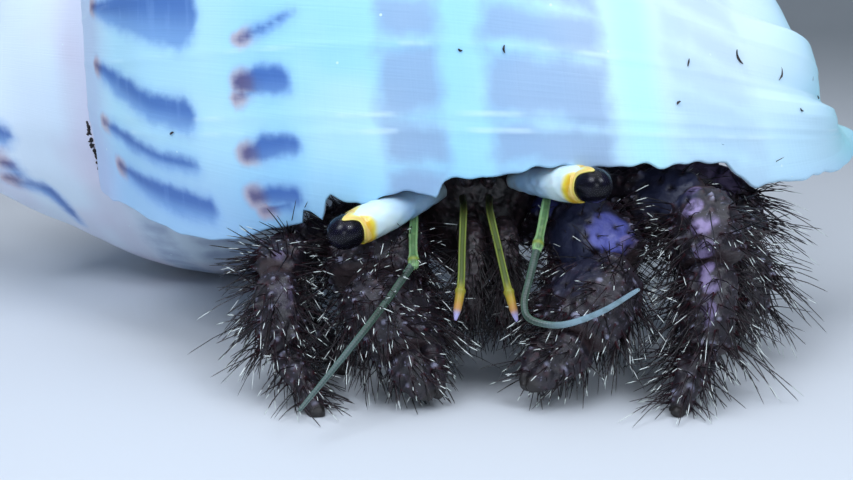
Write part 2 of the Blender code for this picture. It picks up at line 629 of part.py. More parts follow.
def build_feeler(name, points, d0, d1, mat, count, sides=8, skip=0.0):
    path = smooth_path(points, count)
    step_len = np.linalg.norm(path[1] - path[0])
    path[0] = path[0] + (path[1] - path[0]) * min(0.8, skip / step_len)
    dia = np.linspace(d0, d1, count)
    up = np.array([1.0, 0.0, 0.12])
    if abs(path[-1][0] - path[0][0]) >= FEELER_SPREAD:
        up = np.array([0.0, 0.0, 1.0])
    new_object(name, *rings_to_mesh(tube_rings(path, dia, dia, up, sides)), mat)


def clear_scene():
    for obj in list(bpy.data.objects):
        bpy.data.objects.remove(obj, do_unlink=True)


def main():
    clear_scene()
    shell_mat = material("shell_glaze", "DCEBF5", 0.35)
    dark = material("limb_plate", "4A3A45", 0.55)
    lilac = material("limb_knee_lilac", "7E72B4", 0.45)
    flesh = material("breast_and_mouth", "8E7F8C", 0.55)
    soft = material("soft_abdomen", "B98F80", 0.5)
    stalk = material("eyestalk_pale", "D8E8F0", 0.3)
    black = material("cornea_black", "0A0A12", 0.08)
    olive = material("feeler_olive", "A8AE3E", 0.4)
    bluish = material("flagellum_blue_grey", "8FA9A8", 0.4)

    build_shell(shell_mat)
    build_shield(flesh)
    build_abdomen(soft)
    for prefix, spec in LIMBS.items():
        if prefix.startswith("cheliped"):
            mats = (dark, lilac, dark, dark)
            claw = dict(spec, names=spec["names"][:3])
            build_limb(prefix, claw, mats)
            build_claw_tips(prefix, spec, mats)
        else:
            build_limb(prefix, spec, (dark, lilac, dark, dark))
    for name, points in SMALL_LEGS.items():
        build_feeler(name, points, *SMALL_LEG_DIAMETERS, flesh, 6)
    build_eye("right", EYE_RIGHT, stalk, black)
    build_eye("left", EYE_LEFT, stalk, black)
    build_acicle("right", -1, dark)
    build_acicle("left", 1, dark)
    for name, points in ANTENNULES.items():
        build_feeler(name, points, *ANTENNULE_DIAMETERS, olive, 9)
    for name, points in PEDUNCLES.items():
        build_feeler(name, points, *PEDUNCLE_DIAMETERS, olive, 6)
    for name, points in FLAGELLA.items():
        build_feeler(name, points, *FLAGELLUM_DIAMETERS, bluish, 14, sides=6, skip=FLAGELLUM_SKIP)
    for name, points in MAXILLIPEDS.items():
        build_feeler(name, points, *MAXILLIPED_DIAMETERS, flesh, 8)


main()
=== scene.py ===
"""Still, life-size model of a blue-knee hermit crab looking out of a pale, thin-lipped shell.

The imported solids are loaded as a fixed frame. Every piece below is a surface worked out with
numpy in that frame and rides on the model's one body. Sizes are laid out in millimetres from
the middle of the crab's eyes, with +Z up and the crab facing -Y, as the solids are, and are
turned into metres of the frame when a mesh is made.
"""
import math

import bpy
import numpy as np
from bpy.props import FloatProperty, FloatVectorProperty, PointerProperty
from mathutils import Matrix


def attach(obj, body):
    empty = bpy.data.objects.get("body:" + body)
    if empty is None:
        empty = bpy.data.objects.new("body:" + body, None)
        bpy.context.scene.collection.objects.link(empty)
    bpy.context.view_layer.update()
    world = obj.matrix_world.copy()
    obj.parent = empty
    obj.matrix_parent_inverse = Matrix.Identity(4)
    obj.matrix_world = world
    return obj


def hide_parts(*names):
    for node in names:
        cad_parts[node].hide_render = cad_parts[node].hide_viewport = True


bl_info = {
    "name": "Hermit Crab Model",
    "version": (1, 0, 0),
    "blender": (4, 5, 0),
    "location": "View3D > Sidebar > Crab",
    "description": "Builds the looks of a life-size hermit crab round its packed solids",
    "category": "Add Mesh",
}

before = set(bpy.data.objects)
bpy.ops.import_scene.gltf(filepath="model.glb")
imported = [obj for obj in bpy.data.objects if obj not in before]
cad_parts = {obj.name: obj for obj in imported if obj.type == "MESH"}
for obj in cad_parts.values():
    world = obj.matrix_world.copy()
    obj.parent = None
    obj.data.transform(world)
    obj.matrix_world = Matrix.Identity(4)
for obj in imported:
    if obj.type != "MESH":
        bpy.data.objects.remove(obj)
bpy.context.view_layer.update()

MM = 0.001
ORIGIN = np.array([-12.1, 26.2, 0.0])  # the frame's origin, from the crab's eyes
BODY = "root"

# -------------------- shell sizes
# A logarithmic spiral: one profile (axial height h, radius r) turns about the shell's axis
# and grows by WHORL_RATIO every full turn. Angles along the profile run from the suture (0)
# over the periphery (90) to the siphonal end (180 degrees).
WHORL_RATIO = 1.98
BODY_RADIUS = 41.0
H_PERIPHERY, H_SUTURE, H_END, R_END = 69.9, 32.34, 108.85, 4.0
E_BACK, E_FRONT = 1.07, 1.05
# the siphonal end is ringed by a ridge made of the worn ends of older lips: turns back from
# the lip and the mm it stands up there; each sharp rise is the edge of one of those lips
RIDGE_AT, RIDGE_WIDTH, RIDGE_LEAN = 156.0, 13.0, 0.35
RIDGE_TURNS = (-1.4, -0.74, -0.69, -0.655, -0.60, -0.50, -0.44, -0.415, -0.385, -0.34,
               -0.26, -0.16, 0.0)
RIDGE_MM = (3.9, 3.6, 3.0, 4.9, 4.3, 2.95, 1.9, 1.9, 3.9, 3.6, 2.0, 0.8, 0.0)
# the turn before the last bulges behind its suture: middle and span in radians back from
# the lip, place and width along the profile in degrees, and its height in mm
SHOULDER_TURN, SHOULDER_SPAN = -5.9, 0.50
SHOULDER_AT, SHOULDER_WIDTH, SHOULDER_MM = 31.0, 14.0, 8.5
APEX = np.array([-66.07, 46.25, 26.73])
AXIS_ROLL, AXIS_YAW, LIP_TURN = 4.22, 7.35, 13.98
LIP_SWEEP_1, LIP_SWEEP_2 = 0.159, 0.081
SPIRE_TURNS = 5.4
TUCK = 4.0  # degrees by which each whorl is tucked under its suture
COLUMELLA_SPAN, COLUMELLA_TAPER = (40.0, 98.0), 0.52
WALL, OLD_WALL = 1.25, 0.9  # thickness of the wall, in mm at the lip's scale
# what is broken off the lip, at places along it: degrees and millimetres
LIP_CHIPS = (
    (0.0, 0.0), (4.0, 0.0), (12.0, 0.9), (22.0, 1.8), (31.5, 2.1), (38.5, 1.2), (43.3, 0.65),
    (46.7, 0.0), (52.3, -0.45), (58.0, -0.55), (62.0, 0.0), (66.0, 0.3), (69.2, 0.5),
    (69.6, 1.5), (70.6, 1.25), (72.4, 0.4), (73.0, 1.9), (73.9, 2.45), (75.7, 1.95),
    (78.4, 1.4), (81.0, 1.9), (84.5, 2.0),
    (87.5, 1.75), (89.5, 1.4), (90.8, 2.6), (94.2, 2.6), (96.8, 2.35), (99.3, 2.6),
    (103.1, 2.95), (107.0, 2.7), (111.5, 2.65), (116.6, 2.6), (119.6, 2.3), (123.0, 2.7),
    (127.0, 2.5), (130.5, 2.4), (131.6, 1.5), (133.5, 0.9), (135.0, 0.2), (139.0, 0.5),
    (146.0, 0.3), (150.0, 0.6), (154.0, 0.1), (166.0, 0.0), (180.0, 0.1),
)
# slate-blue strokes painted on the last whorl: each is a run of (turn in radians back from
# the lip line, degrees along the profile, half width in mm), beginning at its warm inner end
LIP_STROKES = (
    ((-0.500, 24.0, 0.4), (-0.478, 30.0, 1.1), (-0.468, 36.0, 1.7), (-0.458, 46.0, 2.5),
     (-0.452, 50.0, 2.6)),
    ((-0.302, 25.5, 0.5), (-0.256, 33.5, 1.15), (-0.210, 43.5, 1.15), (-0.206, 51.0, 1.3)),
    ((-0.127, 27.6, 0.35), (-0.098, 36.0, 0.75), (-0.080, 45.0, 0.55), (-0.087, 52.0, 0.5)),
    ((-0.006, 31.2, 0.5), (0.012, 37.0, 0.8), (0.020, 46.0, 1.25), (0.014, 53.5, 1.0)),
    ((-0.398, 61.6, 0.2), (-0.424, 65.5, 0.5), (-0.467, 70.3, 0.15)),
    ((-0.300, 61.6, 0.8), (-0.312, 64.5, 1.15), (-0.316, 67.6, 1.2)),
    ((-0.262, 60.6, 0.2), (-0.282, 62.6, 0.35)),
    ((-0.140, 61.4, 0.5), (-0.164, 64.8, 1.05), (-0.180, 68.9, 0.85)),
    ((-0.047, 62.0, 0.55), (-0.060, 65.0, 0.8), (-0.069, 68.6, 0.8)),
    ((-0.022, 63.4, 0.25), (-0.046, 67.6, 0.4)),
)
# the few marks on the whorl before it, where it is worn plain between these turns
WORN_FROM, WORN_TO = -7.3, -4.95
WORN_STROKES = (
    ((-6.11, 38.0, 1.4), (-6.11, 43.3, 1.4)),
    ((-5.95, 42.0, 0.5), (-5.92, 43.8, 0.8), (-5.89, 45.1, 0.5)),
    ((-5.81, 42.0, 0.5), (-5.79, 47.0, 0.9), (-5.78, 51.2, 1.2), (-5.73, 54.1, 1.1),
     (-5.64, 56.1, 0.9), (-5.56, 56.5, 0.4)),
)
# pale grey-brown squares: middle turn, middle degrees, half sizes in radians and degrees
SQUARE_COLUMNS = ((87.2, 4.6), (106.1, 7.8), (131.0, 7.0))
SQUARE_ROWS = ((-0.478, 0.044), (-0.352, 0.068), (-0.226, 0.042), (-0.145, 0.030),
               (-0.075, 0.030))
SQUARE_BOW = 7.2e-5  # how much a row bows: radians for each degree squared
STROKE_PITCH = 0.1225  # radians between the painted rows of older growth
PATTERN_ARM = 38.0  # mm from the axis to the pattern, at the lip's scale
MM_PER_DEGREE = 0.66  # mm along the profile for one degree of it
FAR_MM = 6.0  # distance given where no stroke or square is near
NO_LINE_MM = 3.0  # distance given where no growth line is near
# bright growth lines: turn at 90 degrees
GROWTH_LINES = (-0.242, -0.276, -0.418, -0.565, -0.70, -0.93, -1.10, -1.48, -1.9)
# dark grains stuck to the last whorl (turn, degrees, length in mm) and the run of debris
# caught beside the suture, on the whorl before (turns and degrees of its ends)
SPECKS = (
    (-0.408, 94.9, 0.25), (-0.420, 100.7, 0.45), (-0.547, 123.5, 0.50), (-0.450, 127.1, 0.50),
    (-0.562, 140.6, 0.45), (-0.482, 146.2, 0.80), (-0.353, 147.0, 0.30), (-0.342, 124.1, 0.30),
    (-0.545, 110.7, 0.30), (-0.587, 120.3, 0.25), (-0.158, 48.1, 0.35), (-0.590, 152.0, 0.30),
    (-0.520, 155.5, 0.75), (-0.430, 158.0, 0.35), (-0.500, 137.0, 0.90),
)
DEBRIS_FROM, DEBRIS_TO, DEBRIS_COUNT = (-6.28, 75.9), (-5.97, 76.9), 46

# -------------------- limb sizes
TOE_HEIGHT = 0.28
# the joints of each limb, and the width and thickness of each of its plates (and of its
# two fingers together)
LIMBS = {
    "cheliped_right": (
        [(-4.4, 8.8, 11.3), (-7.5, 4.4, 12.2), (-8.9, -0.6, 9.0),
         (-5.6, -5.0, 4.3), (-3.6, -7.2, 1.1)],
        [(4.6, 4.6), (8.2, 5.8), (8.6, 5.6), (4.8, 3.0)]),
    "cheliped_left": (
        [(4.4, 8.8, 11.6), (8.7, 5.2, 13.6), (11.1, 0.2, 10.0),
         (7.6, -4.6, 5.2), (3.6, -7.6, 2.0)],
        [(4.6, 4.8), (7.4, 6.4), (8.2, 6.0), (4.8, 3.2)]),
    "leg_2_right": (
        [(-5.2, 12.4, 11.8), (-15.9, 4.8, 11.0), (-17.0, -0.6, 9.7),
         (-16.4, -3.6, 3.7), (-12.6, -8.8, TOE_HEIGHT)],
        [(3.2, 3.6), (3.6, 3.6), (3.6, 3.6), (2.2, 2.2)]),
    "leg_2_left": (
        [(5.6, 13.0, 12.0), (18.9, 3.0, 15.4), (19.5, -1.0, 10.8),
         (18.9, -3.8, 3.9), (15.4, -8.8, TOE_HEIGHT)],
        [(4.2, 6.0), (5.4, 5.8), (4.8, 4.2), (2.5, 2.5)]),
    "leg_3_right": (
        [(-5.4, 16.2, 12.4), (-15.4, 15.4, 10.2), (-17.2, 12.0, 7.6),
         (-15.6, 7.2, 3.2), (-11.2, 2.0, TOE_HEIGHT)],
        [(3.0, 3.2), (3.0, 3.0), (2.8, 3.0), (1.8, 2.0)]),
    "leg_3_left": (
        [(5.4, 16.4, 12.8), (22.4, 12.4, 15.8), (24.6, 8.8, 10.4),
         (25.0, 6.8, 4.3), (24.4, 13.8, TOE_HEIGHT)],
        [(3.6, 5.6), (4.0, 5.0), (3.4, 3.4), (2.0, 2.2)]),
}
CLAW_PLATES = ("merus", "carpus", "palm")  # and two fingers
LEG_PLATES = ("merus", "carpus", "propodus", "dactyl")
# outline of each kind of plate: (fraction of its length, share of its full thickness)
OUTLINES = {
    "merus": ((-0.05, 0.0), (-0.05, 0.34), (0.02, 0.60), (0.16, 0.80), (0.42, 0.97),
              (0.72, 1.0), (0.90, 0.93), (0.98, 0.80), (1.02, 0.55), (1.02, 0.0)),
    "carpus": ((-0.09, 0.0), (-0.09, 0.36), (0.00, 0.64), (0.14, 0.86), (0.38, 1.0),
               (0.66, 1.02), (0.86, 0.97), (0.97, 0.86), (1.03, 0.60), (1.03, 0.0)),
    "palm": ((-0.10, 0.0), (-0.10, 0.34), (0.00, 0.62), (0.14, 0.86), (0.36, 1.02),
             (0.60, 1.02), (0.82, 0.90), (0.95, 0.76), (1.02, 0.52), (1.02, 0.0)),
    "propodus": ((-0.09, 0.0), (-0.09, 0.36), (0.00, 0.66), (0.12, 0.88), (0.34, 1.0),
                 (0.62, 1.0), (0.84, 0.90), (0.96, 0.78), (1.02, 0.55), (1.02, 0.0)),
    "dactyl": ((-0.06, 0.0), (-0.06, 0.40), (0.02, 0.78), (0.14, 0.97), (0.36, 1.0),
               (0.60, 0.84), (0.80, 0.62), (0.93, 0.42), (1.0, 0.22), (1.0, 0.0)),
    "finger": ((-0.10, 0.0), (-0.10, 0.40), (0.00, 0.80), (0.14, 1.0), (0.38, 0.98),
               (0.62, 0.80), (0.82, 0.56), (0.95, 0.34), (1.0, 0.18), (1.0, 0.0)),
}
PLATE_HINT = np.array([0.0, 0.35, 1.0])  # roughly the back of every limb plate
MESH_STEP = 0.15  # mm between the points of a plate's mesh
SPINE_SPACING, SPINE_RING = 1.05, 0.91  # mm between spines; where their ring lies
SPINE_ROWS = (-0.12, 0.01, 0.13, 0.26)  # turns round the plate of the rows of spines
TIPPED = ("dactyl", "finger")  # the kinds of plate that end in a horn tip
TOE_FLOOR = 0.02  # mm above the floor, the lowest a toe's skin goes
SMALL_LEGS = {
    "leg_4_right": [(-5.0, 19.4, 15.0), (-8.6, 20.4, 17.6), (-11.8, 17.4, 20.6)],
    "leg_4_left": [(5.0, 19.4, 15.4), (8.8, 20.4, 18.0), (12.2, 17.4, 20.8)],
    "leg_5_right": [(-4.4, 20.6, 18.8), (-7.0, 22.4, 22.0), (-9.2, 20.4, 25.0)],
    "leg_5_left": [(4.4, 20.6, 19.2), (7.2, 22.4, 22.2), (9.6, 20.4, 25.2)],
}
EYES = {"right": ((-2.9, 2.9, 16.4), (-12.2, -4.4, 13.5)),
        "left": ((2.9, 2.9, 17.2), (10.4, -4.6, 17.9))}
CORNEA, CORNEA_LENGTH = 3.1, 2.9  # mm across and along the eye
UP = np.array([0.0, 0.0, 1.0])
EYE_CLEARANCE = 1.85  # mm kept free of bristles about an eyestalk's axis
BRISTLE_LOW = 0.15  # mm above the floor, the lowest a bristle's tip goes
BAKE_PATCH = 0.003  # width of a bristle's patch on the bake map
ANTENNULES = {
    "antennule_right": [(-1.2, 3.1, 15.5), (-1.2, 0.4, 15.0), (-1.55, -5.6, 9.9),
                        (-2.0, -7.0, 7.5)],
    "antennule_left": [(1.1, 3.1, 15.5), (1.0, 0.4, 15.0), (2.2, -5.6, 9.9), (2.9, -7.0, 7.4)],
}
PEDUNCLES = {
    "antenna_peduncle_right": [(-5.35, 0.4, 14.2), (-5.4, -1.9, 13.0), (-5.35, -4.0, 11.5)],
    "antenna_peduncle_left": [(5.7, 0.2, 15.7), (5.3, -1.8, 14.7), (4.7, -4.0, 12.9)],
}
FLAGELLA = {
    "antenna_flagellum_right": [(-5.35, -4.0, 11.5), (-7.6, -7.6, 9.0),
                                (-10.6, -11.8, 6.0), (-13.6, -16.0, 3.2)],
    "antenna_flagellum_left": [(4.7, -4.0, 12.9), (3.9, -6.2, 10.7), (3.4, -7.6, 9.0),
                               (3.9, -8.6, 8.0), (6.1, -9.8, 7.9), (8.8, -12.0, 9.5),
                               (11.1, -15.0, 12.0)],
}
# the jaw feet reach low between the claws' roots, dark and bristly, and partly stand in for the
# shade there
MAXILLIPEDS = {
    "maxilliped_right": [(-0.6, 3.2, 13.2), (-0.5, 0.0, 12.2), (-0.4, -1.7, 8.8),
                         (-0.6, -1.4, 5.4)],
    "maxilliped_left": [(2.2, 3.2, 13.2), (2.3, 0.0, 12.2), (2.4, -1.7, 8.8), (2.3, -1.4, 5.4)],
}
SHIELD_FRONT, SHIELD_BACK = 3.6, 19.2
SHIELD_WIDTH, SHIELD_TOP, SHIELD_BOTTOM = 11.6, 19.6, 10.2
BREAST_DROP = 5.0  # mm that the breast hangs between the claws' roots
BREAST_NARROWING = (0.45, 0.10)  # shares it loses below, on the left and the right
GROOVE_AT, GROOVE_MM = 11.6, 0.35  # the neck's groove: place and depth
SHIELD = ((0.0, 0.0), (0.0, 0.30), (0.03, 0.55), (0.10, 0.78), (0.25, 0.95), (0.5, 1.0),
          (0.75, 0.98), (0.92, 0.86), (0.99, 0.62), (1.0, 0.3), (1.0, 0.0))
ACICLE = ((0.0, 0.0), (0.0, 0.5), (0.1, 0.85), (0.4, 1.0), (0.75, 0.85), (0.95, 0.4),
          (1.0, 0.0))
ACICLE_ROUTE = ((0.86, 3.2, 17.2), (0.90, 1.4, 17.5), (0.86, -0.5, 17.75))
MAXILLIPED = ((0.0, 0.0), (0.0, 0.5), (0.04, 0.85), (0.24, 1.0), (0.40, 0.92), (0.46, 1.04),
              (0.66, 0.98), (0.74, 0.80), (0.79, 0.90), (0.92, 0.66), (1.0, 0.30), (1.0, 0.0))
SMALL_LEG = ((0.0, 0.0), (0.0, 0.5), (0.05, 0.9), (0.30, 1.0), (0.46, 0.92), (0.52, 1.0),
             (0.80, 0.82), (0.92, 0.62), (1.0, 0.3), (1.0, 0.0))
ACICLE_SIZE, MAXILLIPED_SIZE, SMALL_LEG_SIZE = (1.2, 1.4), (2.4, 2.2), (2.0, 2.0)
ROD_HINT = np.array([0.0, 1.0, 0.2])  # roughly the back of the jaw feet and small legs
ABDOMEN_FROM, ABDOMEN_TO = -0.40, -3.1
ABDOMEN_RADIUS, ABDOMEN_TIP = 5.6, 2.0
ABDOMEN_R, ABDOMEN_H, FOLD_PITCH = 31.0, 64.0, 3.4

# -------------------- stage numbers
CAMERA_AT = (-4.3, -107.85, 35.47)  # mm from the eyes
CAMERA_DIP = 12.0  # degrees below the horizon
CAMERA_FIELD = 36.0  # degrees across
FLOOR_RADIUS, FLOOR_TURN, WALL_TOP = 600.0, 350.0, 650.0
SENSOR = 36.0
LIGHTS_AIM = np.array([2.0, -2.0, 18.0])
# soft square lights: place in mm, mm across, the setting of their power and a share of it
LIGHTS = {
    "key_left": ((-110.0, -150.0, 210.0), 110.0, "key_power", 1.0, "EAF2FF"),
    "key_right": ((120.0, -150.0, 190.0), 90.0, "key_power", 0.8, "EAF2FF"),
    "fill": ((10.0, -230.0, 60.0), 70.0, "key_power", 0.2, "EAF2FF"),
    "overhead": ((0.0, -20.0, 300.0), 300.0, "top_power", 1.0, "F0F4FF"),
}


# ==================== helpers
def hex_linear(text):
    """Linear red, green and blue of an sRGB hex colour."""
    parts = [int(text[i:i + 2], 16) / 255 for i in (0, 2, 4)]
    return tuple(c / 12.92 if c <= 0.04045 else ((c + 0.055) / 1.055) ** 2.4 for c in parts)


def rgba(colour):
    """A colour with full alpha, from a hex text or from linear numbers."""
    linear = hex_linear(colour) if isinstance(colour, str) else tuple(colour)[:3]
    return (*linear, 1.0)


def unit(vectors):
    """Each vector divided by its own length."""
    vectors = np.asarray(vectors, float)
    return vectors / np.maximum(np.linalg.norm(vectors, axis=-1, keepdims=True), 1e-12)


def ease(x):
    """0 below 0, 1 above 1, and 3x^2 - 2x^3 between."""
    x = np.clip(x, 0.0, 1.0)
    return x * x * (3.0 - 2.0 * x)


def bell(x):
    """e to the minus x squared."""
    return np.exp(-np.square(x))


def ripple(x, seed, low, high, waves=9):
    """Sum of cosines with seeded rates between low and high, of about unit size."""
    rng = np.random.default_rng(seed)
    rates = rng.uniform(low, high, waves)
    phases = rng.uniform(0.0, 2.0 * math.pi, waves)
    x = np.asarray(x, float)
    return np.cos(x[..., None] * rates + phases).sum(-1) / math.sqrt(waves / 2.0)


def lumps(points, size, seed, waves=14):
    """Sum of plane cosine waves about `size` mm long in seeded directions, of unit size."""
    rng = np.random.default_rng(seed)
    ways = unit(rng.normal(size=(waves, 3))) * rng.uniform(0.7, 1.5, (waves, 1))
    phases = rng.uniform(0.0, 2.0 * math.pi, waves)
    total = np.cos(points @ ways.T * (2.0 * math.pi / size) + phases).sum(-1)
    return total / math.sqrt(waves / 2.0)


def build_mesh(name, points, faces, fields=None, bake_uv=None):
    """Mesh object from points in mm and a list of index arrays, one for each face size.

    If the signed volume (a sixth of the sum of each corner fan's triple products) is
    negative, every face is turned round, so that faces point outwards.
    """
    points = np.asarray(points, float)
    volume = 0.0
    for group in faces:
        a = points[group[:, 0]]
        for k in range(1, group.shape[1] - 1):
            b, c = points[group[:, k]], points[group[:, k + 1]]
            volume += np.einsum("ij,ij->", a, np.cross(b, c))
    if volume < 0.0:
        faces = [group[:, ::-1] for group in faces]
    corners = np.concatenate([group.ravel() for group in faces]).astype(np.int32)
    sizes = np.concatenate([np.full(len(group), group.shape[1]) for group in faces])
    starts = np.concatenate([[0], np.cumsum(sizes)[:-1]]).astype(np.int32)
    mesh = bpy.data.meshes.new(name)
    mesh.vertices.add(len(points))
    mesh.vertices.foreach_set("co", ((points - ORIGIN) * MM).astype(np.float32).ravel())
    mesh.loops.add(len(corners))
    mesh.loops.foreach_set("vertex_index", corners)
    mesh.polygons.add(len(starts))
    mesh.polygons.foreach_set("loop_start", starts)
    mesh.polygons.foreach_set("use_smooth", np.ones(len(starts), bool))
    mesh.update(calc_edges=True)
    for key, values in (fields or {}).items():
        layer = mesh.attributes.new(key, "FLOAT", "POINT")
        layer.data.foreach_set("value", np.asarray(values, np.float32).ravel())
    if bake_uv is not None:
        layer = mesh.uv_layers.new(name="OFBake")
        layer.data.foreach_set("uv", np.asarray(bake_uv, np.float32)[corners].ravel())
    piece = bpy.data.objects.new(name, mesh)
    bpy.context.scene.collection.objects.link(piece)
    return piece


def put_in_frame(piece, material, slot, *nodes):
    """Gives a piece its finish and its body and hides the solids it stands for; the slot is
    not used.
    """
    piece.data.materials.append(material)
    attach(piece, BODY)
    if nodes:
        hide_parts(*nodes)


def grid_faces(rows, cols, start=0):
    """Quads of a grid that closes round its columns, numbered row by row from start."""
    i, j = np.meshgrid(np.arange(rows - 1), np.arange(cols), indexing="ij")
    k = (j + 1) % cols
    quads = np.stack([i * cols + j, i * cols + k, (i + 1) * cols + k, (i + 1) * cols + j], -1)
    return quads.reshape(-1, 4) + start


def ring_angles(cols):
    """Angles of a ring's points, evenly spread."""
    return 2 * np.pi * np.arange(cols) / cols


def ring_ways(cols, first, second):
    """Ways from a ring's middle to its points: cos a first + sin a second."""
    angle = ring_angles(cols)[:, None]
    return np.cos(angle) * first[..., None, :] + np.sin(angle) * second[..., None, :]


def closed_tube(grid):
    """Points and faces of a grid of rings whose first and last rows meet in single points."""
    rows, cols = grid.shape[:2]
    tips = grid[0].mean(0, keepdims=True), grid[-1].mean(0, keepdims=True)
    points = np.concatenate([tips[0], grid[1:-1].reshape(-1, 3), tips[1]])
    j = np.arange(cols)
    k = (j + 1) % cols
    top = 1 + (rows - 3) * cols
    first = np.stack([np.zeros(cols, int), k + 1, j + 1], -1)
    last = np.stack([np.full(cols, len(points) - 1), top + j, top + k], -1)
    return points, [grid_faces(rows - 2, cols, 1), np.concatenate([first, last])]


def tube_values(values):
    """One value for each point of closed_tube, from values on the grid."""
    return np.concatenate([values[0, :1], values[1:-1].ravel(), values[-1, :1]])


def put_tube(name, grid, fields, finish, slot, *nodes):
    """Puts a closed tube in the frame, with fields whose values are given on its grid."""
    points, faces = closed_tube(grid)
    fields = {key: tube_values(np.broadcast_to(values, grid.shape[:2]))
              for key, values in fields.items()}
    put_in_frame(build_mesh(name, points, faces, fields), finish, slot, *nodes)


def smooth_through(knots, count):
    """Catmull-Rom curve through the knots at evenly spread parameters."""
    p = np.asarray(knots, float)
    p = np.vstack([2 * p[0] - p[1], p, 2 * p[-1] - p[-2]])
    s = np.linspace(0, len(knots) - 1, count)
    i = np.minimum(s.astype(int), len(knots) - 2)
    f = (s - i)[:, None]
    a, b, c, d = p[i], p[i + 1], p[i + 2], p[i + 3]
    return 0.5 * (2 * b + (c - a) * f + (2 * a - 5 * b + 4 * c - d) * f ** 2
                  + (3 * b - a - 3 * c + d) * f ** 3)


def along(route, fractions):
    """Points, unit directions and length of the smooth curve through a route's points.

    Fractions are shares of the curve's length; past an end the curve goes straight on.
    """
    path = smooth_through(route, 160)
    reach = np.concatenate([[0], np.cumsum(np.linalg.norm(np.diff(path, axis=0), axis=1))])
    slope = np.gradient(path, axis=0)
    inside = np.clip(fractions, 0, 1) * reach[-1]
    point = np.stack([np.interp(inside, reach, path[:, k]) for k in range(3)], -1)
    way = unit(np.stack([np.interp(inside, reach, slope[:, k]) for k in range(3)], -1))
    over = (fractions - np.clip(fractions, 0, 1)) * reach[-1]
    return point + over[:, None] * way, way, reach[-1]


def sweep(route, outline, width, height, hint, step=MESH_STEP, power=2.25, cols=None, rows=None):
    """Surface carried along a route.

    Each row is a superellipse |x/a|^n + |y/b|^n = 1 square to the route; a and b are half
    the width and height times the outline's share at that fraction of the length. Rows lie
    evenly along the outline. Angle 0 is the route's side, 90 degrees its back.
    """
    dense = smooth_through(outline, 400)
    dense[:, 1] = np.maximum(dense[:, 1], 0.0)
    length = along(route, np.array([1.0]))[2]
    run = np.hypot(np.diff(dense[:, 0]) * length, np.diff(dense[:, 1]) * max(width, height) / 2)
    reach = np.concatenate([[0], np.cumsum(run)])
    rows = rows or max(12, int(reach[-1] / step))
    at = np.linspace(0, reach[-1], rows)
    fraction = np.interp(at, reach, dense[:, 0])
    share = np.interp(at, reach, dense[:, 1])
    point, way, length = along(route, fraction)
    rise = unit(hint - way * (way @ hint)[:, None])
    side = np.cross(way, rise)
    cols = cols or max(16, int(math.pi * (width + height) / 2 / step))
    angle = ring_angles(cols)
    c, s = np.cos(angle), np.sin(angle)
    c = np.sign(c) * np.abs(c) ** (2 / power) * width / 2
    s = np.sign(s) * np.abs(s) ** (2 / power) * height / 2
    ring = c[None, :, None] * side[:, None] + s[None, :, None] * rise[:, None]
    points = point[:, None] + share[:, None, None] * ring
    return dict(points=points, fraction=fraction, share=share, way=way, centre=point,
                length=length)


def outward(points, centre):
    """Unit normals of a closed-round grid: the cross of its two differences, turned away
    from each row's centre."""
    down = np.gradient(points, axis=0)
    across = np.roll(points, -1, axis=1) - np.roll(points, 1, axis=1)
    normal = unit(np.cross(across, down))
    inward = np.sum(normal * (points - centre[:, None]), axis=-1, keepdims=True) < 0
    return np.where(inward, -normal, normal)


def pick(values, row, col):
    """Bilinear reading of a closed-round grid at fractional rows and columns."""
    rows, cols = values.shape[:2]
    row = np.clip(row, 0, rows - 1.001)
    i, j = row.astype(int), np.floor(col).astype(int)
    f, g = (row - i)[:, None], (col - j)[:, None]
    j, k = j % cols, (j + 1) % cols
    return ((values[i, j] * (1 - g) + values[i, k] * g) * (1 - f)
            + (values[i + 1, j] * (1 - g) + values[i + 1, k] * g) * f)


# ==================== materials
def add_node(tree, kind, inputs=None, **settings):
    """Adds a shader node. Inputs are socket values, or other nodes' outputs to link."""
    made = tree.nodes.new("ShaderNode" + kind)
    for key, value in settings.items():
        setattr(made, key, value)
    for key, value in (inputs or {}).items():
        if isinstance(value, bpy.types.NodeSocket):
            tree.links.new(value, made.inputs[key])
        else:
            made.inputs[key].default_value = value
    return made


def new_finish(name, *fields):
    """Empty node material, its tree, and the output of each surface field that it reads."""
    finish = bpy.data.materials.new(name)
    finish.use_nodes = True
    tree = finish.node_tree
    tree.nodes.clear()
    read = [add_node(tree, "Attribute", attribute_name=key).outputs["Fac"] for key in fields]
    return finish, tree, *read


def mix_colour(tree, share, first, second):
    """Output of a colour mix; colours are hex texts, linear numbers or sockets."""
    pair = [c if isinstance(c, bpy.types.NodeSocket) else rgba(c) for c in (first, second)]
    return add_node(tree, "Mix", {0: share, 6: pair[0], 7: pair[1]},
                    data_type="RGBA").outputs[2]


def remap(tree, value, low, high, to_low=0.0, to_high=1.0, curve="SMOOTHSTEP"):
    """Output of a Map Range node."""
    made = add_node(tree, "MapRange", {0: value, 1: low, 2: high, 3: to_low, 4: to_high},
                    interpolation_type=curve)
    return made.outputs[0]


def layered(tree, colour, *coats):
    """Lays coats over a colour, one after another. A coat is its share, which may be given
    as the numbers for remap, and its colour."""
    for share, coat in coats:
        share = remap(tree, *share) if isinstance(share, tuple) else share
        colour = mix_colour(tree, share, colour, coat)
    return colour


def reckon(tree, operation, first, second=0.0, third=0.0):
    """Output of a Math node."""
    return add_node(tree, "Math", {0: first, 1: second, 2: third},
                    operation=operation).outputs[0]


def times(tree, first, second):
    """Output of the first value times the second."""
    return reckon(tree, "MULTIPLY", first, second)


def bell_of(tree, value, middle, width):
    """Output that is 1 where value is at middle and falls smoothly to 0 at either side."""
    gap = reckon(tree, "ABSOLUTE", reckon(tree, "SUBTRACT", value, middle))
    return remap(tree, gap, 1.6 * width, 0.2 * width)


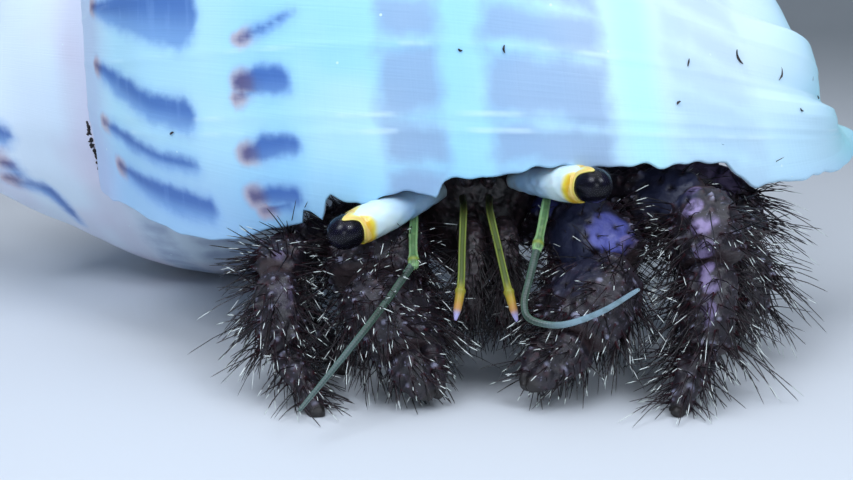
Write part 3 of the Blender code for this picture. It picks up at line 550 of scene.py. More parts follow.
def noise_mm(tree, size, detail=2.0, stretch=None, distortion=0.0):
    """Noise whose lumps are about `size` mm wide, on Object coordinates."""
    vector = add_node(tree, "TexCoord").outputs["Object"]
    if stretch:
        vector = add_node(tree, "Mapping", {"Vector": vector, "Scale": stretch}).outputs[0]
    inputs = {"Vector": vector, "Scale": 1.0 / (size * MM), "Detail": detail,
              "Distortion": distortion}
    return add_node(tree, "TexNoise", inputs).outputs["Fac"]


def spiral_noise(tree, place, per_radian, per_degree, detail):
    """Noise laid along the shell's spiral: lumps to a radian of turn and to a degree."""
    vector = add_node(tree, "Mapping", {"Vector": place, "Scale": (per_radian, per_degree, 1.0)})
    inputs = {"Vector": vector.outputs[0], "Scale": 1.0, "Detail": detail}
    return add_node(tree, "TexNoise", inputs).outputs["Fac"]


def finish_shader(tree, colour, bump=None, bump_depth=0.1, **sockets):
    """Principled BSDF with its output; bump heights are shares of bump_depth mm."""
    inputs = {"Base Color": colour}
    inputs.update({key.replace("_", " "): value for key, value in sockets.items()})
    if bump is not None:
        heights = {"Height": bump, "Strength": 1.0, "Distance": bump_depth * MM}
        inputs["Normal"] = add_node(tree, "Bump", heights).outputs[0]
    shader = add_node(tree, "BsdfPrincipled", inputs)
    add_node(tree, "OutputMaterial", {"Surface": shader.outputs[0]})


def bare_glaze(tree, look, age, around, old):
    """Colour of the unpainted glaze: it changes along the profile, clouds over softly and,
    on the whorl before, is worn to a pink-tan layer in patches; beside that whorl's suture
    a pink-tan painted shade darkens the hollow."""
    milky = times(tree, bell_of(tree, around, 134.0, 17.0), remap(tree, age, -0.15, -0.55))
    cloud, blush = noise_mm(tree, 14.0, 3.0), noise_mm(tree, 15.0, 2.0)
    worn = times(tree, old, remap(tree, blush, 0.48, 0.64, 0.0, 0.45))
    # painted shade: a pink-tan band in the hollow beside the suture of the whorl before
    suture_shade = times(tree, old, bell_of(tree, around, 75.0, 7.0))
    return layered(
        tree, "B4E4F8",
        ((around, 54.0, 68.0), look.base_colour),
        ((around, 92.0, 124.0), "C2E8FA"),
        (times(tree, milky, 0.75), "E2F4FB"),
        ((around, 150.0, 168.0), "AEEFFB"),
        ((cloud, 0.42, 0.72, 0.0, 0.45), "D4F1FA"),
        (times(tree, bell_of(tree, around, 118.5, 3.0), 0.7), "B9F4FC"),
        ((age, -0.20, 0.06, 0.0, 0.55), "8FB6EC"),
        ((around, 34.0, 22.0, 0.0, 0.60), "CBD3F4"),
        # the whorls before the last are paler: partly their own glaze, partly painted light for
        # the shade they lie in
        (times(tree, old, 0.86), "E4F1FF"),
        (worn, "D8D0E4"),
        (times(tree, suture_shade, 0.35), "CDBBD0"))


def painted_strokes(tree, look, base, place, around, stroke, warm, shade):
    """Slate-blue strokes over a colour: darker on the side laid down first, with soft
    streaked edges, a paler halo and a warm fringe at their inner ends."""
    streaks = spiral_noise(tree, place, 5.0, 0.55, 4.0)
    fray = reckon(tree, "MULTIPLY_ADD", streaks, 0.10, noise_mm(tree, 1.3, 3.0))
    edge = reckon(tree, "MULTIPLY_ADD", fray, 0.9, reckon(tree, "ADD", stroke, -0.50))
    fringe = times(tree, remap(tree, edge, 1.0, 0.2), warm)
    ink = layered(
        tree, "76A2DA",
        ((shade, 0.05, 0.70), look.stroke_colour),
        ((streaks, 0.50, 0.75, 0.0, 0.25), "7FA6DE"),
        ((around, 56.0, 60.0, 0.0, 0.55), "2A54A8"),
        (times(tree, warm, 0.8), "4A3A66"))
    return layered(
        tree, base,
        ((edge, 1.2, -0.2, 0.0, 0.44), "86B4EC"),
        (times(tree, fringe, 0.65), "CBA9A6"),
        ((edge, 0.50, -0.55, 0.0, 0.86), ink))


def glazed_shell(look):
    """Glazed aragonite, grown layer on layer: a soft milky gloss, paler along the growth
    lines, with pigment laid in rows under the glaze."""
    finish, tree, age, around, stroke, warm, shade, square, line, inside, old = new_finish(
        "glazed_aragonite_shell", "age", "around", "stroke", "warm", "shade", "square", "line",
        "inside", "old")
    place = add_node(tree, "CombineXYZ", {0: age, 1: around}).outputs[0]
    base = bare_glaze(tree, look, age, around, old)
    # grey-brown squares under the glaze, faint beyond 120 degrees
    ragged = reckon(tree, "MULTIPLY_ADD", noise_mm(tree, 2.6, 3.0), 2.4,
                    reckon(tree, "ADD", square, -1.2))
    in_square = remap(tree, ragged, 1.1, -1.0, 0.0, look.square_strength)
    faint = remap(tree, around, 118.0, 124.0, 1.0, 0.30)
    base = mix_colour(tree, times(tree, in_square, faint), base, "8A9CC2")
    base = painted_strokes(tree, look, base, place, around, stroke, warm, shade)
    # white growth lines, broken along their length, tiny white grains and the plain inside
    broken = remap(tree, spiral_noise(tree, place, 6.0, 0.10, 3.0), 0.48, 0.70)
    streak = times(tree, remap(tree, line, 0.34, 0.02), broken)
    cells = {"Vector": add_node(tree, "TexCoord").outputs["Object"], "Scale": 1.0 / (3.2 * MM)}
    grain = add_node(tree, "TexVoronoi", cells).outputs["Distance"]
    base = layered(
        tree, base,
        (times(tree, streak, 0.5), "DDF6FF"),
        ((grain, 0.045, 0.030, 0.0, 0.6), "E6FAFF"),
        (times(tree, inside, 0.85), "D9D6E4"))
    # relief too fine for the mesh: growth striae 0.25 mm apart and faint spiral threads
    relief = reckon(tree, "ADD", times(tree, spiral_noise(tree, place, 160.0, 0.05, 2.0), 0.6),
                    times(tree, spiral_noise(tree, place, 0.4, 1.6, 2.0), 0.4))
    rough = remap(tree, noise_mm(tree, 5.0, 3.0), 0.3, 0.75, 0.34, 0.52, "LINEAR")
    finish_shader(tree, base, relief, 0.035, Roughness=rough, IOR=1.45,
                  Specular_IOR_Level=0.35, Subsurface_Weight=look.clearness,
                  Subsurface_Scale=1.5 * MM, Subsurface_Radius=(1.0, 1.0, 1.0))
    return finish


def cuticle(look):
    """Calcified cuticle of the limb plates: dull, pitted, brown-violet with paler scales; its
    dark ground is partly painted shade, darker than the bare cuticle where the shell shades
    the limbs.
    """
    finish, tree, crest, root, blue, shaded_blue, lilac, horn, pit, joint = new_finish(
        "calcified_limb_cuticle", "crest", "root", "blue", "shaded_blue", "lilac", "horn", "pit",
        "joint")
    mottle = noise_mm(tree, 1.5, 4.0, distortion=0.6)
    fleck, grit = noise_mm(tree, 0.42, 3.0), noise_mm(tree, 0.27, 2.0)
    on_scale = remap(tree, mottle, 0.3, 0.6, 0.35, 1.0)
    heath = mix_colour(tree, remap(tree, mottle, 0.35, 0.65), "54466E", "9484B0")
    # painted shade: the dark ground is partly the cuticle's own brown-violet, partly the shade
    # the shell casts on the limbs
    base = layered(
        tree, look.dark_colour,
        ((mottle, 0.34, 0.66), "211A25"),
        ((fleck, 0.56, 0.74, 0.0, 0.6), "463948"),
        ((grit, 0.64, 0.72, 0.0, 0.7), "7C7A92"),
        (times(tree, remap(tree, crest, 0.25, 0.9), on_scale), look.scale_colour),
        (times(tree, root, 0.8), "5A2530"),
        (joint, "3A2A2C"),
        # painted shade: the blue skin where it lies in shade, laid on in navy
        (times(tree, shaded_blue, remap(tree, blue, 0.6, 0.2)),
         mix_colour(tree, mottle, "10142C", "222848")),
        (blue, mix_colour(tree, mottle, "3E4590", "5A60B0")),
        (times(tree, lilac, remap(tree, mottle, 0.36, 0.58, 0.35, 1.0)), heath),
        (pit, "140C12"),
        (horn, "17110F"))
    relief = reckon(tree, "ADD", times(tree, fleck, 0.7),
                    times(tree, noise_mm(tree, 0.2, 2.0), 0.3))
    rough = remap(tree, mottle, 0.3, 0.7, 0.42, 0.66, "LINEAR")
    finish_shader(tree, base, relief, 0.09, Roughness=rough, IOR=1.56,
                  Specular_IOR_Level=0.55)
    return finish


def bristle_horn():
    """Chitin bristles: dark glassy shafts, reddish at the root, with pale tips that are partly
    bleached and partly painted glints.
    """
    finish, tree, reach, tint = new_finish("chitin_bristle", "reach", "tint")
    # a pale tip, partly bleached and partly a painted glint, begins at 0.88 of the length, on
    # the palest bristles at 0.70
    start = remap(tree, tint, 0.58, 1.0, 0.88, 0.70, "LINEAR")
    beyond = remap(tree, reckon(tree, "SUBTRACT", reach, start), -0.04, 0.05)
    pale_tip_and_glint = remap(tree, tint, 0.66, 0.74)
    colour = layered(
        tree, "0D0A0E",
        ((tint, 0.2, 0.9), "2A1A20"),
        ((reach, 0.16, 0.0, 0.0, 0.8), "5E2A34"),
        (times(tree, beyond, pale_tip_and_glint), mix_colour(tree, tint, "A9CFC0", "F0F6F2")))
    finish_shader(tree, colour, Roughness=0.35, IOR=1.56)
    return finish


def eyestalk_skin(look):
    """Thin glossy cuticle over white tissue, with a lemon collar at the eye."""
    finish, tree, reach, rim, free = new_finish("eyestalk_cuticle", "reach", "rim", "edge")
    cloud = noise_mm(tree, 1.2, 3.0)
    root = reckon(tree, "MULTIPLY_ADD", cloud, 0.22, reckon(tree, "ADD", reach, -0.11))
    edge = reckon(tree, "MULTIPLY_ADD", cloud, 0.5, reckon(tree, "ADD", free, -0.25))
    lemon = layered(
        tree, look.collar_colour,
        (bell_of(tree, free, 0.45, 0.35), "E6B625"),
        ((rim, 0.05, 0.0, 0.0, 0.3), "F2EBB0"))
    colour = layered(
        tree, look.stalk_colour,
        ((cloud, 0.3, 0.7), "93B9DC"),
        ((reach, 0.45, 0.80), "DDF3F6"),
        # greyer towards the root: partly the stalk's own tone, partly painted shade under the
        # shell's lip
        ((root, 0.26, 0.04, 0.0, 0.8), "7C8A86"),
        ((edge, 1.50, 0.85), lemon))
    finish_shader(tree, colour, noise_mm(tree, 0.5, 2.0), 0.02, Roughness=0.28, IOR=1.5,
                  Subsurface_Weight=0.12, Subsurface_Scale=0.6 * MM, Coat_Weight=0.3,
                  Coat_Roughness=0.1)
    return finish


def eye_black():
    """Blue-black pigment of the compound eye, seen through its clear cuticle."""
    finish, tree = new_finish("compound_eye_pigment")
    colour = mix_colour(tree, remap(tree, noise_mm(tree, 1.0, 2.0), 0.4, 0.7), "05050E", "0D0A1E")
    finish_shader(tree, colour, Roughness=0.24, IOR=1.33)
    return finish


def eye_clear():
    """Clear cuticle over the eye: seen only as a thin grey-brown rim and by its glints."""
    finish, tree = new_finish("clear_eye_cuticle")
    colour = mix_colour(tree, remap(tree, noise_mm(tree, 0.8, 2.0), 0.3, 0.7), "20222C", "3A3A44")
    finish_shader(tree, colour, Roughness=0.07, IOR=1.40, Alpha=0.06)
    return finish


def feeler_skin(look):
    """Translucent olive cuticle of the antennules: dark core, light edges, and a yellow last
    joint that ends lavender-white."""
    finish, tree, reach, facing, knot = new_finish("feeler_cuticle", "reach", "facing", "knot")
    streak = noise_mm(tree, 0.5, 3.0, stretch=(1.0, 0.25, 0.25))
    tip = layered(
        tree, "A88E30",
        ((reach, 0.88, 0.93), "B98A4C"),
        ((reach, 0.93, 0.975), "A9A6D4"))
    colour = layered(
        tree, look.feeler_colour,
        ((facing, 0.66, 0.90), "425018"),
        ((streak, 0.5, 0.75, 0.0, 0.3), "5E6C28"),
        (knot, "8C8A2E"),
        # painted shade: near-black towards the root, where the antennule comes out of the shade
        # under the shell
        ((reach, 0.44, 0.22, 0.0, 0.8), "15120F"),
        ((reach, 0.83, 0.875), tip))
    finish_shader(tree, colour, streak, 0.02, Roughness=0.42, IOR=1.45, Subsurface_Weight=0.15,
                  Subsurface_Scale=0.3 * MM)
    return finish


def peduncle_skin():
    """Green cuticle of the antennae's stems."""
    finish, tree, facing, knot = new_finish("antenna_stem_cuticle", "facing", "knot")
    streak = noise_mm(tree, 0.6, 3.0)
    colour = layered(
        tree, "8DB57E",
        ((facing, 0.70, 0.93), "4C6E42"),
        ((streak, 0.5, 0.75, 0.0, 0.4), "86A66C"),
        (knot, "7C8A34"))
    finish_shader(tree, colour, streak, 0.03, Roughness=0.32, IOR=1.5, Subsurface_Weight=0.12,
                  Subsurface_Scale=0.3 * MM)
    return finish


def flagellum_skin(look):
    """Whip of the antenna: hundreds of short rings, blue-grey, paler at each joint."""
    finish, tree, ring, pale, facing = new_finish(
        "antenna_whip_cuticle", "ring", "pale", "facing")
    colour = layered(
        tree, "4A6453",
        ((facing, 0.55, 0.9), "26372C"),
        (pale, look.whip_colour),
        (times(tree, ring, 0.10), "93ABA8"),
        ((noise_mm(tree, 1.2, 2.0), 0.5, 0.7, 0.0, 0.4), "4A6058"))
    finish_shader(tree, colour, noise_mm(tree, 0.2, 2.0), 0.01, Roughness=0.35, IOR=1.5)
    return finish


def body_cuticle():
    """Thin brown cuticle of the breast, the jaw feet and the small legs."""
    finish, tree, crest = new_finish("thin_body_cuticle", "crest")
    mottle = noise_mm(tree, 1.8, 4.0, distortion=0.5)
    colour = layered(
        tree, "0F0A0C",
        ((mottle, 0.35, 0.65), "2A1F22"),
        ((noise_mm(tree, 0.5, 3.0), 0.55, 0.75, 0.0, 0.6), "4E3A38"),
        ((crest, 0.3, 0.9, 0.0, 0.5), "55464E"))
    finish_shader(tree, colour, noise_mm(tree, 0.35, 3.0), 0.05, Roughness=0.45, IOR=1.5,
                  Subsurface_Weight=0.06, Subsurface_Scale=0.6 * MM)
    return finish


def soft_skin():
    """Bare moist skin of the hind body, which the shell hides."""
    finish, tree = new_finish("moist_abdomen_skin")
    mottle = noise_mm(tree, 3.5, 4.0, distortion=0.4)
    colour = layered(
        tree, "A9756B",
        ((mottle, 0.35, 0.65), "D3A694"),
        ((noise_mm(tree, 0.9, 3.0), 0.5, 0.7, 0.0, 0.5), "8A5560"))
    finish_shader(tree, colour, mottle, 0.15, Roughness=0.32, IOR=1.4, Subsurface_Weight=0.25,
                  Subsurface_Scale=1.2 * MM)
    return finish


def dry_grit():
    """Grains of debris stuck to the shell: dark, dull, broken."""
    finish, tree = new_finish("stuck_debris")
    colour = mix_colour(tree, remap(tree, noise_mm(tree, 0.5, 3.0), 0.4, 0.6), "100C0E", "3A2E2C")
    finish_shader(tree, colour, noise_mm(tree, 0.12, 2.0), 0.03, Roughness=0.7, IOR=1.5)
    return finish


def studio_paint(look):
    """Matt pale paint of the studio floor and backdrop."""
    finish, tree = new_finish("matt_studio_paint")
    colour = mix_colour(tree, noise_mm(tree, 60.0, 2.0), look.floor_colour,
                        [c * 0.97 for c in look.floor_colour])
    finish_shader(tree, colour, noise_mm(tree, 1.5, 2.0), 0.01, Roughness=0.65)
    return finish


# ==================== shell
def shell_axes():
    """The spiral's axis and the two directions square to it, after roll and yaw."""
    roll, yaw, turn = (math.radians(v) for v in (AXIS_ROLL, AXIS_YAW, LIP_TURN))
    a = np.array([1.0, 0.0, 0.0])
    u1 = np.array([0.0, -math.cos(turn), -math.sin(turn)])
    u2 = np.cross(a, u1)
    about_z = np.array([[math.cos(yaw), math.sin(yaw), 0],
                        [-math.sin(yaw), math.cos(yaw), 0], [0, 0, 1]])
    about_y = np.array([[math.cos(roll), 0, math.sin(roll)], [0, 1, 0],
                        [-math.sin(roll), 0, math.cos(roll)]])
    turned = about_y @ about_z
    return turned @ a, turned @ u1, turned @ u2


GROWTH = math.log(WHORL_RATIO) / (2 * math.pi)
COS_S = ((H_PERIPHERY - WHORL_RATIO * H_SUTURE) / (H_PERIPHERY - H_SUTURE)) ** (1 / E_BACK)
THETA_S = math.acos(COS_S)  # where the next whorl's suture runs
SIN_S = math.sin(THETA_S) ** E_BACK
R_SUTURE = BODY_RADIUS * SIN_S / (WHORL_RATIO - 1 + SIN_S)
AXIS, SPOKE_1, SPOKE_2 = shell_axes()


def spiral_point(u, h, r):
    """apex + e^(ku) (h axis + r (cos u spoke1 + sin u spoke2)), k = ln(ratio) / 2 pi."""
    u, h, r = np.broadcast_arrays(np.asarray(u, float), h, r)
    turn = np.cos(u)[..., None] * SPOKE_1 + np.sin(u)[..., None] * SPOKE_2
    return APEX + np.exp(GROWTH * u)[..., None] * (h[..., None] * AXIS + r[..., None] * turn)


def shell_point(u, theta):
    """Point of the outer skin.

    The profile is a superellipse in two halves that meet at the periphery:
    h = hp -+ (hp - h end) |cos|^e and r = r end + (R - r end) |sin|^e. A rounded ridge is
    added round the siphonal end, fading towards the lip, and a bulge behind the suture of
    the turn before the last, square to the profile there.
    """
    u, theta = np.broadcast_arrays(np.asarray(u, float), np.asarray(theta, float))
    c, s = np.abs(np.cos(theta)), np.sin(theta)
    back = theta <= math.pi / 2
    reach = np.sign(s) * np.abs(s) ** np.where(back, E_BACK, E_FRONT)
    h = np.where(back, H_PERIPHERY - (H_PERIPHERY - H_SUTURE) * c ** E_BACK,
                 H_PERIPHERY + (H_END - H_PERIPHERY) * c ** E_FRONT)
    r = np.where(back, R_SUTURE + (BODY_RADIUS - R_SUTURE) * reach,
                 R_END + (BODY_RADIUS - R_END) * reach)
    degrees = np.degrees(theta)
    ridge = np.interp(u, RIDGE_TURNS, RIDGE_MM) * bell((degrees - RIDGE_AT) / RIDGE_WIDTH)
    bulge = (SHOULDER_MM * bell((u - SHOULDER_TURN) / SHOULDER_SPAN)
             * bell((degrees - SHOULDER_AT) / SHOULDER_WIDTH) * ease(degrees / SHOULDER_AT))
    way = math.radians(SHOULDER_AT)
    return spiral_point(u, h + RIDGE_LEAN * ridge - math.cos(way) * bulge,
                        r + ridge + math.sin(way) * bulge)


def off_axis(points):
    """Ways from the shell's axis to points, square to it."""
    return points - APEX - ((points - APEX) @ AXIS)[..., None] * AXIS


def lip_line(theta):
    """Turn of the unbroken lip: a first and a second cosine of the profile angle."""
    return LIP_SWEEP_1 * np.cos(theta) + LIP_SWEEP_2 * np.cos(2 * theta)


def lip_chip(theta):
    """Radians broken off the lip: the chips' millimetres over the local radius, with a fine
    jagged edge where the lip is broken."""
    degrees = np.degrees(theta)
    places, depths = np.array(LIP_CHIPS).T
    depth = np.interp(degrees, places, depths)
    jag = 0.13 * ripple(degrees, 5, 0.5, 2.0) * ease(depth / 0.8)
    jag = jag * np.where(degrees < 60.0, 0.25, 1.0) + 0.03 * ripple(degrees, 6, 0.5, 1.6)
    arm = np.interp(degrees, (0, 45, 90, 150, 180), (26.0, 36.0, 41.0, 26.0, 14.0))
    return (depth + jag) / arm


def shell_rows(counts):
    """Row places (radians back from the lip line), in four runs from coarse to fine."""
    spire = np.linspace(-2 * math.pi * SPIRE_TURNS, -2 * math.pi, counts[0], endpoint=False)
    turn = np.linspace(-2 * math.pi, -0.78, counts[1], endpoint=False)
    front = np.linspace(-0.78, -0.10, counts[2], endpoint=False)
    lip = -0.10 * (1 - np.linspace(0, 1, counts[3]))
    return spire, turn, front, lip


def shell_turns(s, theta):
    """Turn of each grid point: its row's place plus the lip's slant, which fades in over the
    last 0.7 radians, less what is broken off, which fades in over the last 0.17."""
    slant = ease((s + 0.7) / 0.7)[:, None] * lip_line(theta)[None]
    broken = ease((s + 0.17) / 0.17)[:, None] * lip_chip(theta)[None]
    return s[:, None] + slant - broken


def skin_normal(u, theta):
    """Outward unit normal of the outer skin from central differences."""
    d = 1e-4
    along_u = shell_point(u + d, theta) - shell_point(u - d, theta)
    along_t = shell_point(u, theta + d) - shell_point(u, theta - d)
    return unit(np.cross(along_u, along_t))


def shell_relief(u, theta):
    """Mm that the skin stands off the plain spiral: slow undulations of growth, a low step
    at each growth line, a shallow gutter and a bead beside the suture."""
    degrees = np.degrees(theta)
    size = np.exp(GROWTH * u)
    swell = 0.10 * ripple(u, 11, 5.0, 26.0) + 0.05 * ripple(degrees, 12, 0.10, 0.5)
    lines = np.zeros_like(u)
    for at in GROWTH_LINES:
        lines += 0.07 * bell((u - growth_line(at, degrees)) / 0.012)
    gutter = -0.10 * bell((degrees - 9.0) / 4.5) + 0.15 * bell((degrees - 1.0) / 3.0)
    return size * (swell + lines + gutter)


def growth_line(at, degrees):
    """Turn of a growth line: it keeps the lip's slant at half its strength."""
    t = np.radians(degrees)
    return at + 0.55 * (lip_line(t) - lip_line(math.pi / 2)) * ease((at + 1.2) / 1.2)


def rows_about(u, at, reach):
    """Slice of the rows whose mean turn is within reach of a turn; it may be empty."""
    rows = np.nonzero(np.abs(u.mean(axis=1) - at) < reach)[0]
    return slice(rows[0], rows[-1] + 1) if len(rows) else slice(0, 0)


def older_strokes(rng):
    """Seeded strokes of the growth behind the listed ones: a long one beside the suture and
    a short one beyond it in each row, some left out, none where the shell is worn plain."""
    strokes = []
    for at in np.arange(-0.62, -2 * math.pi * SPIRE_TURNS, -STROKE_PITCH):
        at = at + rng.uniform(-0.02, 0.02)
        w = rng.uniform(0.5, 1.15)
        lean = rng.uniform(0.05, 0.11)
        plain = WORN_FROM < at < WORN_TO
        if rng.random() < 0.86 and not plain:
            first = rng.uniform(20.0, 27.0)
            strokes.append([(at - lean, first, 0.3), (at - 0.4 * lean, 36.0, 0.8 * w),
                            (at, 44.0, 1.1 * w), (at + 0.2 * lean, 51.5, 1.2 * w)])
        if rng.random() < 0.86 and not plain:
            tilt = rng.uniform(-0.01, 0.05)
            strokes.append([(at + 0.05, 61.3, 0.5), (at + 0.05 - tilt, 65.0, 0.95 * w),
                            (at + 0.05 - 1.5 * tilt, 69.0, 0.8 * w)])
    return strokes


def stroke_fields(u, theta):
    """Signed distance (mm) to the nearest painted stroke, warmth near its inner end, and
    shade: 1 on the side of each stroke that was laid down first, 0 on the side laid last.

    A stroke is a run of points with half widths; the distance to each piece of it is that
    to its middle line less the width there, measured on the unrolled skin.
    """
    degrees = np.degrees(theta)
    nearest = np.full(u.shape, FAR_MM)
    warm, shade = np.zeros(u.shape), np.zeros(u.shape)
    strokes = [*LIP_STROKES, *WORN_STROKES, *older_strokes(np.random.default_rng(21))]
    for run in strokes:
        run = np.array(run)
        near = rows_about(u, run[:, 0].mean(), 0.34)
        size = math.exp(GROWTH * run[0, 0])
        arm = R_SUTURE + (BODY_RADIUS - R_SUTURE) * math.sin(math.radians(run[:, 1].mean()))
        scale = np.array([arm * size, size * MM_PER_DEGREE])
        x = (u[near] - run[0, 0]) * scale[0]
        y = (degrees[near] - run[0, 1]) * scale[1]
        knots = (run[:, :2] - run[0, :2]) * scale
        best, side = np.full(x.shape, FAR_MM), np.zeros(x.shape)
        for a, b, wa, wb in zip(knots[:-1], knots[1:], run[:-1, 2], run[1:, 2]):
            d = b - a
            t = np.clip(((x - a[0]) * d[0] + (y - a[1]) * d[1]) / max(d @ d, 1e-9), 0, 1)
            gap = np.hypot(x - a[0] - t * d[0], y - a[1] - t * d[1])
            wide = (wa + t * (wb - wa)) * size ** 0.5
            side = np.where(gap - wide < best, 0.5 - 0.5 * (x - a[0] - t * d[0]) / wide, side)
            best = np.minimum(best, gap - wide)
        ends = ease(1.3 - np.hypot(x, y) / (1.7 * size ** 0.5))
        closer = best < nearest[near]
        warm[near] = np.where(closer, ends, warm[near])
        shade[near] = np.where(closer, np.clip(side, 0, 1), shade[near])
        nearest[near] = np.minimum(nearest[near], best)
    return nearest, warm, shade


def square_field(u, theta):
    """Signed distance (mm) to the nearest pale square: the longer way out of its box."""
    degrees = np.degrees(theta)
    nearest = np.full(u.shape, FAR_MM)
    rng = np.random.default_rng(31)
    squares = [(at, middle, half_u, half_t) for at, half_u in SQUARE_ROWS
               for middle, half_t in SQUARE_COLUMNS]
    for at in np.arange(-0.585, -2 * math.pi * 1.2, -STROKE_PITCH):
        for middle, half in SQUARE_COLUMNS:
            if rng.random() < 0.84:
                squares.append((at + rng.uniform(-0.012, 0.012), middle,
                                rng.uniform(0.030, 0.050), half * rng.uniform(0.9, 1.05)))
    for at, middle, half_u, half_t in squares:
        near = rows_about(u, at, 0.30)
        size = math.exp(GROWTH * at)
        bent = u[near] - at - SQUARE_BOW * (degrees[near] - 100.0) ** 2
        x = (np.abs(bent) - half_u) * PATTERN_ARM * size
        y = (np.abs(degrees[near] - middle) - half_t) * MM_PER_DEGREE * size
        out = np.hypot(np.maximum(x, 0), np.maximum(y, 0)) + np.minimum(np.maximum(x, y), 0)
        nearest[near] = np.minimum(nearest[near], out)
    return nearest


def shell_fields(u, theta, inside):
    """What the glaze's pattern reads at each point of a grid of the skin."""
    degrees = np.degrees(theta) + 0 * u
    stroke, warm, shade = stroke_fields(u, theta)
    line = np.full(u.shape, NO_LINE_MM)
    for at in GROWTH_LINES:
        gap = np.abs(u - growth_line(at, degrees)) * PATTERN_ARM * math.exp(GROWTH * at)
        line = np.minimum(line, gap)
    fields = dict(age=u, around=degrees, stroke=stroke, warm=warm, shade=shade,
                  square=square_field(u, theta), line=line, inside=np.full(u.shape, inside),
                  old=ease((-1.2 - u) / 3.0))
    if inside:
        fields["stroke"] = np.full(u.shape, FAR_MM)
        fields["square"] = np.full(u.shape, FAR_MM)
        fields["line"] = np.full(u.shape, NO_LINE_MM)
    return fields


def shell_band(s, divisions, lip_rings=False):
    """Outer and inner grids of the shell's wall for rows s, with their pattern fields.

    The inner skin is the outer one moved along its normal by the wall's thickness, which
    thins to an edge at the lip. At the lip itself four more rows carry both skins round a
    half circle, so that the edge is rounded.
    """
    theta = np.linspace(math.radians(-TUCK), math.pi, divisions + 1)
    u = shell_turns(s, theta)
    th = np.broadcast_to(theta, u.shape)
    plain = shell_point(u, th)
    safe = np.clip(th, None, math.pi - 0.02)
    normal = skin_normal(u, safe)
    facing = np.sum(normal * off_axis(plain), axis=-1)[:, divisions // 2]
    normal = np.where(facing[:, None, None] < 0, -normal, normal)
    outer = plain + normal * shell_relief(u, th)[..., None]
    outer[..., 2] = np.maximum(outer[..., 2], 0.0)
    size = np.exp(GROWTH * u)
    edge = 0.45 + 0.25 * ease((np.degrees(th) - 130.0) / 12.0)
    wall = OLD_WALL + (WALL - OLD_WALL) * ease((u + 6.0) / 5.0)
    wall = wall + (edge - wall) * ease((s[:, None] + 0.16) / 0.16)
    inner = outer - normal * (wall * size)[..., None]
    grids = [shell_fields(u, th, 0.0), shell_fields(u, th, 1.0)]
    if lip_rings:
        onward = unit(shell_point(u[-1] + 1e-3, th[-1]) - shell_point(u[-1], th[-1]))
        half = (outer[-1] - inner[-1]) / 2
        centre = (outer[-1] + inner[-1]) / 2
        bulge = np.linalg.norm(half, axis=-1, keepdims=True)
        for bend in (0.35, 0.70, 1.05, 1.40):
            go = centre + math.sin(bend) * bulge * onward
            outer = np.concatenate([outer, (go + math.cos(bend) * half)[None]])
            inner = np.concatenate([inner, (go - math.cos(bend) * half)[None]])
            for fields in grids:
                for key in fields:
                    fields[key] = np.concatenate([fields[key], fields[key][-1:]])
    return outer, inner, grids


def join_bands(first, second):
    """Faces between the last row of a band and the first of one with r times as many
    divisions: one face with r + 3 corners for each wide division."""
    wide, fine = len(first) - 1, len(second) - 1
    ratio = fine // wide
    j = np.arange(wide)
    corners = [first[j], first[j + 1]] + [second[ratio * (j + 1) - k] for k in range(ratio + 1)]
    return np.stack(corners, -1)


def strip(first, second, flip=False):
    """Quads between two rows (or grids) of point numbers; flip turns them round."""
    quads = np.stack([first[:-1], first[1:], second[1:], second[:-1]], -1).reshape(-1, 4)
    return quads[:, ::-1] if flip else quads


def build_shell_wall(finish):
    """The whole wall as one closed sheet: outer skin, rounded lip and inner skin, in bands
    of rising fineness towards the lip."""
    spire, turn, front, lip = shell_rows((int(34 * (SPIRE_TURNS - 1)), 96, 84, 15))
    bands = [shell_band(spire, 70), shell_band(np.concatenate([turn, front]), 140),
             shell_band(lip, 420, lip_rings=True)]
    points, groups, count = [], {3: [], 4: [], 5: [], 6: []}, 0
    fields = {key: [] for key in bands[0][2][0]}
    ends = []
    for outer, inner, grids in bands:
        rows, cols = outer.shape[:2]
        index = count + np.arange(2 * rows * cols).reshape(2, rows, cols)
        count += 2 * rows * cols
        points += [outer.reshape(-1, 3), inner.reshape(-1, 3)]
        for grid in grids:
            for key in fields:
                fields[key].append(np.asarray(grid[key], float).ravel())
        for skin, flip in ((index[0], False), (index[1], True)):
            groups[4].append(strip(skin[:, :-1], skin[:, 1:], flip))
        for col, flip in ((0, True), (-1, False)):
            groups[4].append(strip(index[0][:, col], index[1][:, col], flip))
        ends.append((index[:, 0], index[:, -1]))
    for (_, last), (following, _) in zip(ends[:-1], ends[1:]):
        outer_join = join_bands(last[0], following[0])
        groups[outer_join.shape[1]] += [outer_join[:, ::-1], join_bands(last[1], following[1])]
        for col, flip in ((0, True), (-1, False)):
            edge = np.stack([last[:, col], following[:, col]])
            groups[4].append(strip(edge[:, 0], edge[:, 1], flip))
    groups[4] += [strip(*ends[0][0]), strip(*ends[-1][1], flip=True)]
    faces = [np.concatenate(group) for group in groups.values() if group]
    fields = {key: np.concatenate(parts) for key, parts in fields.items()}
    wall = build_mesh("shell_wall", np.concatenate(points), faces, fields)
    put_in_frame(wall, finish, "shell_glaze", "shell")


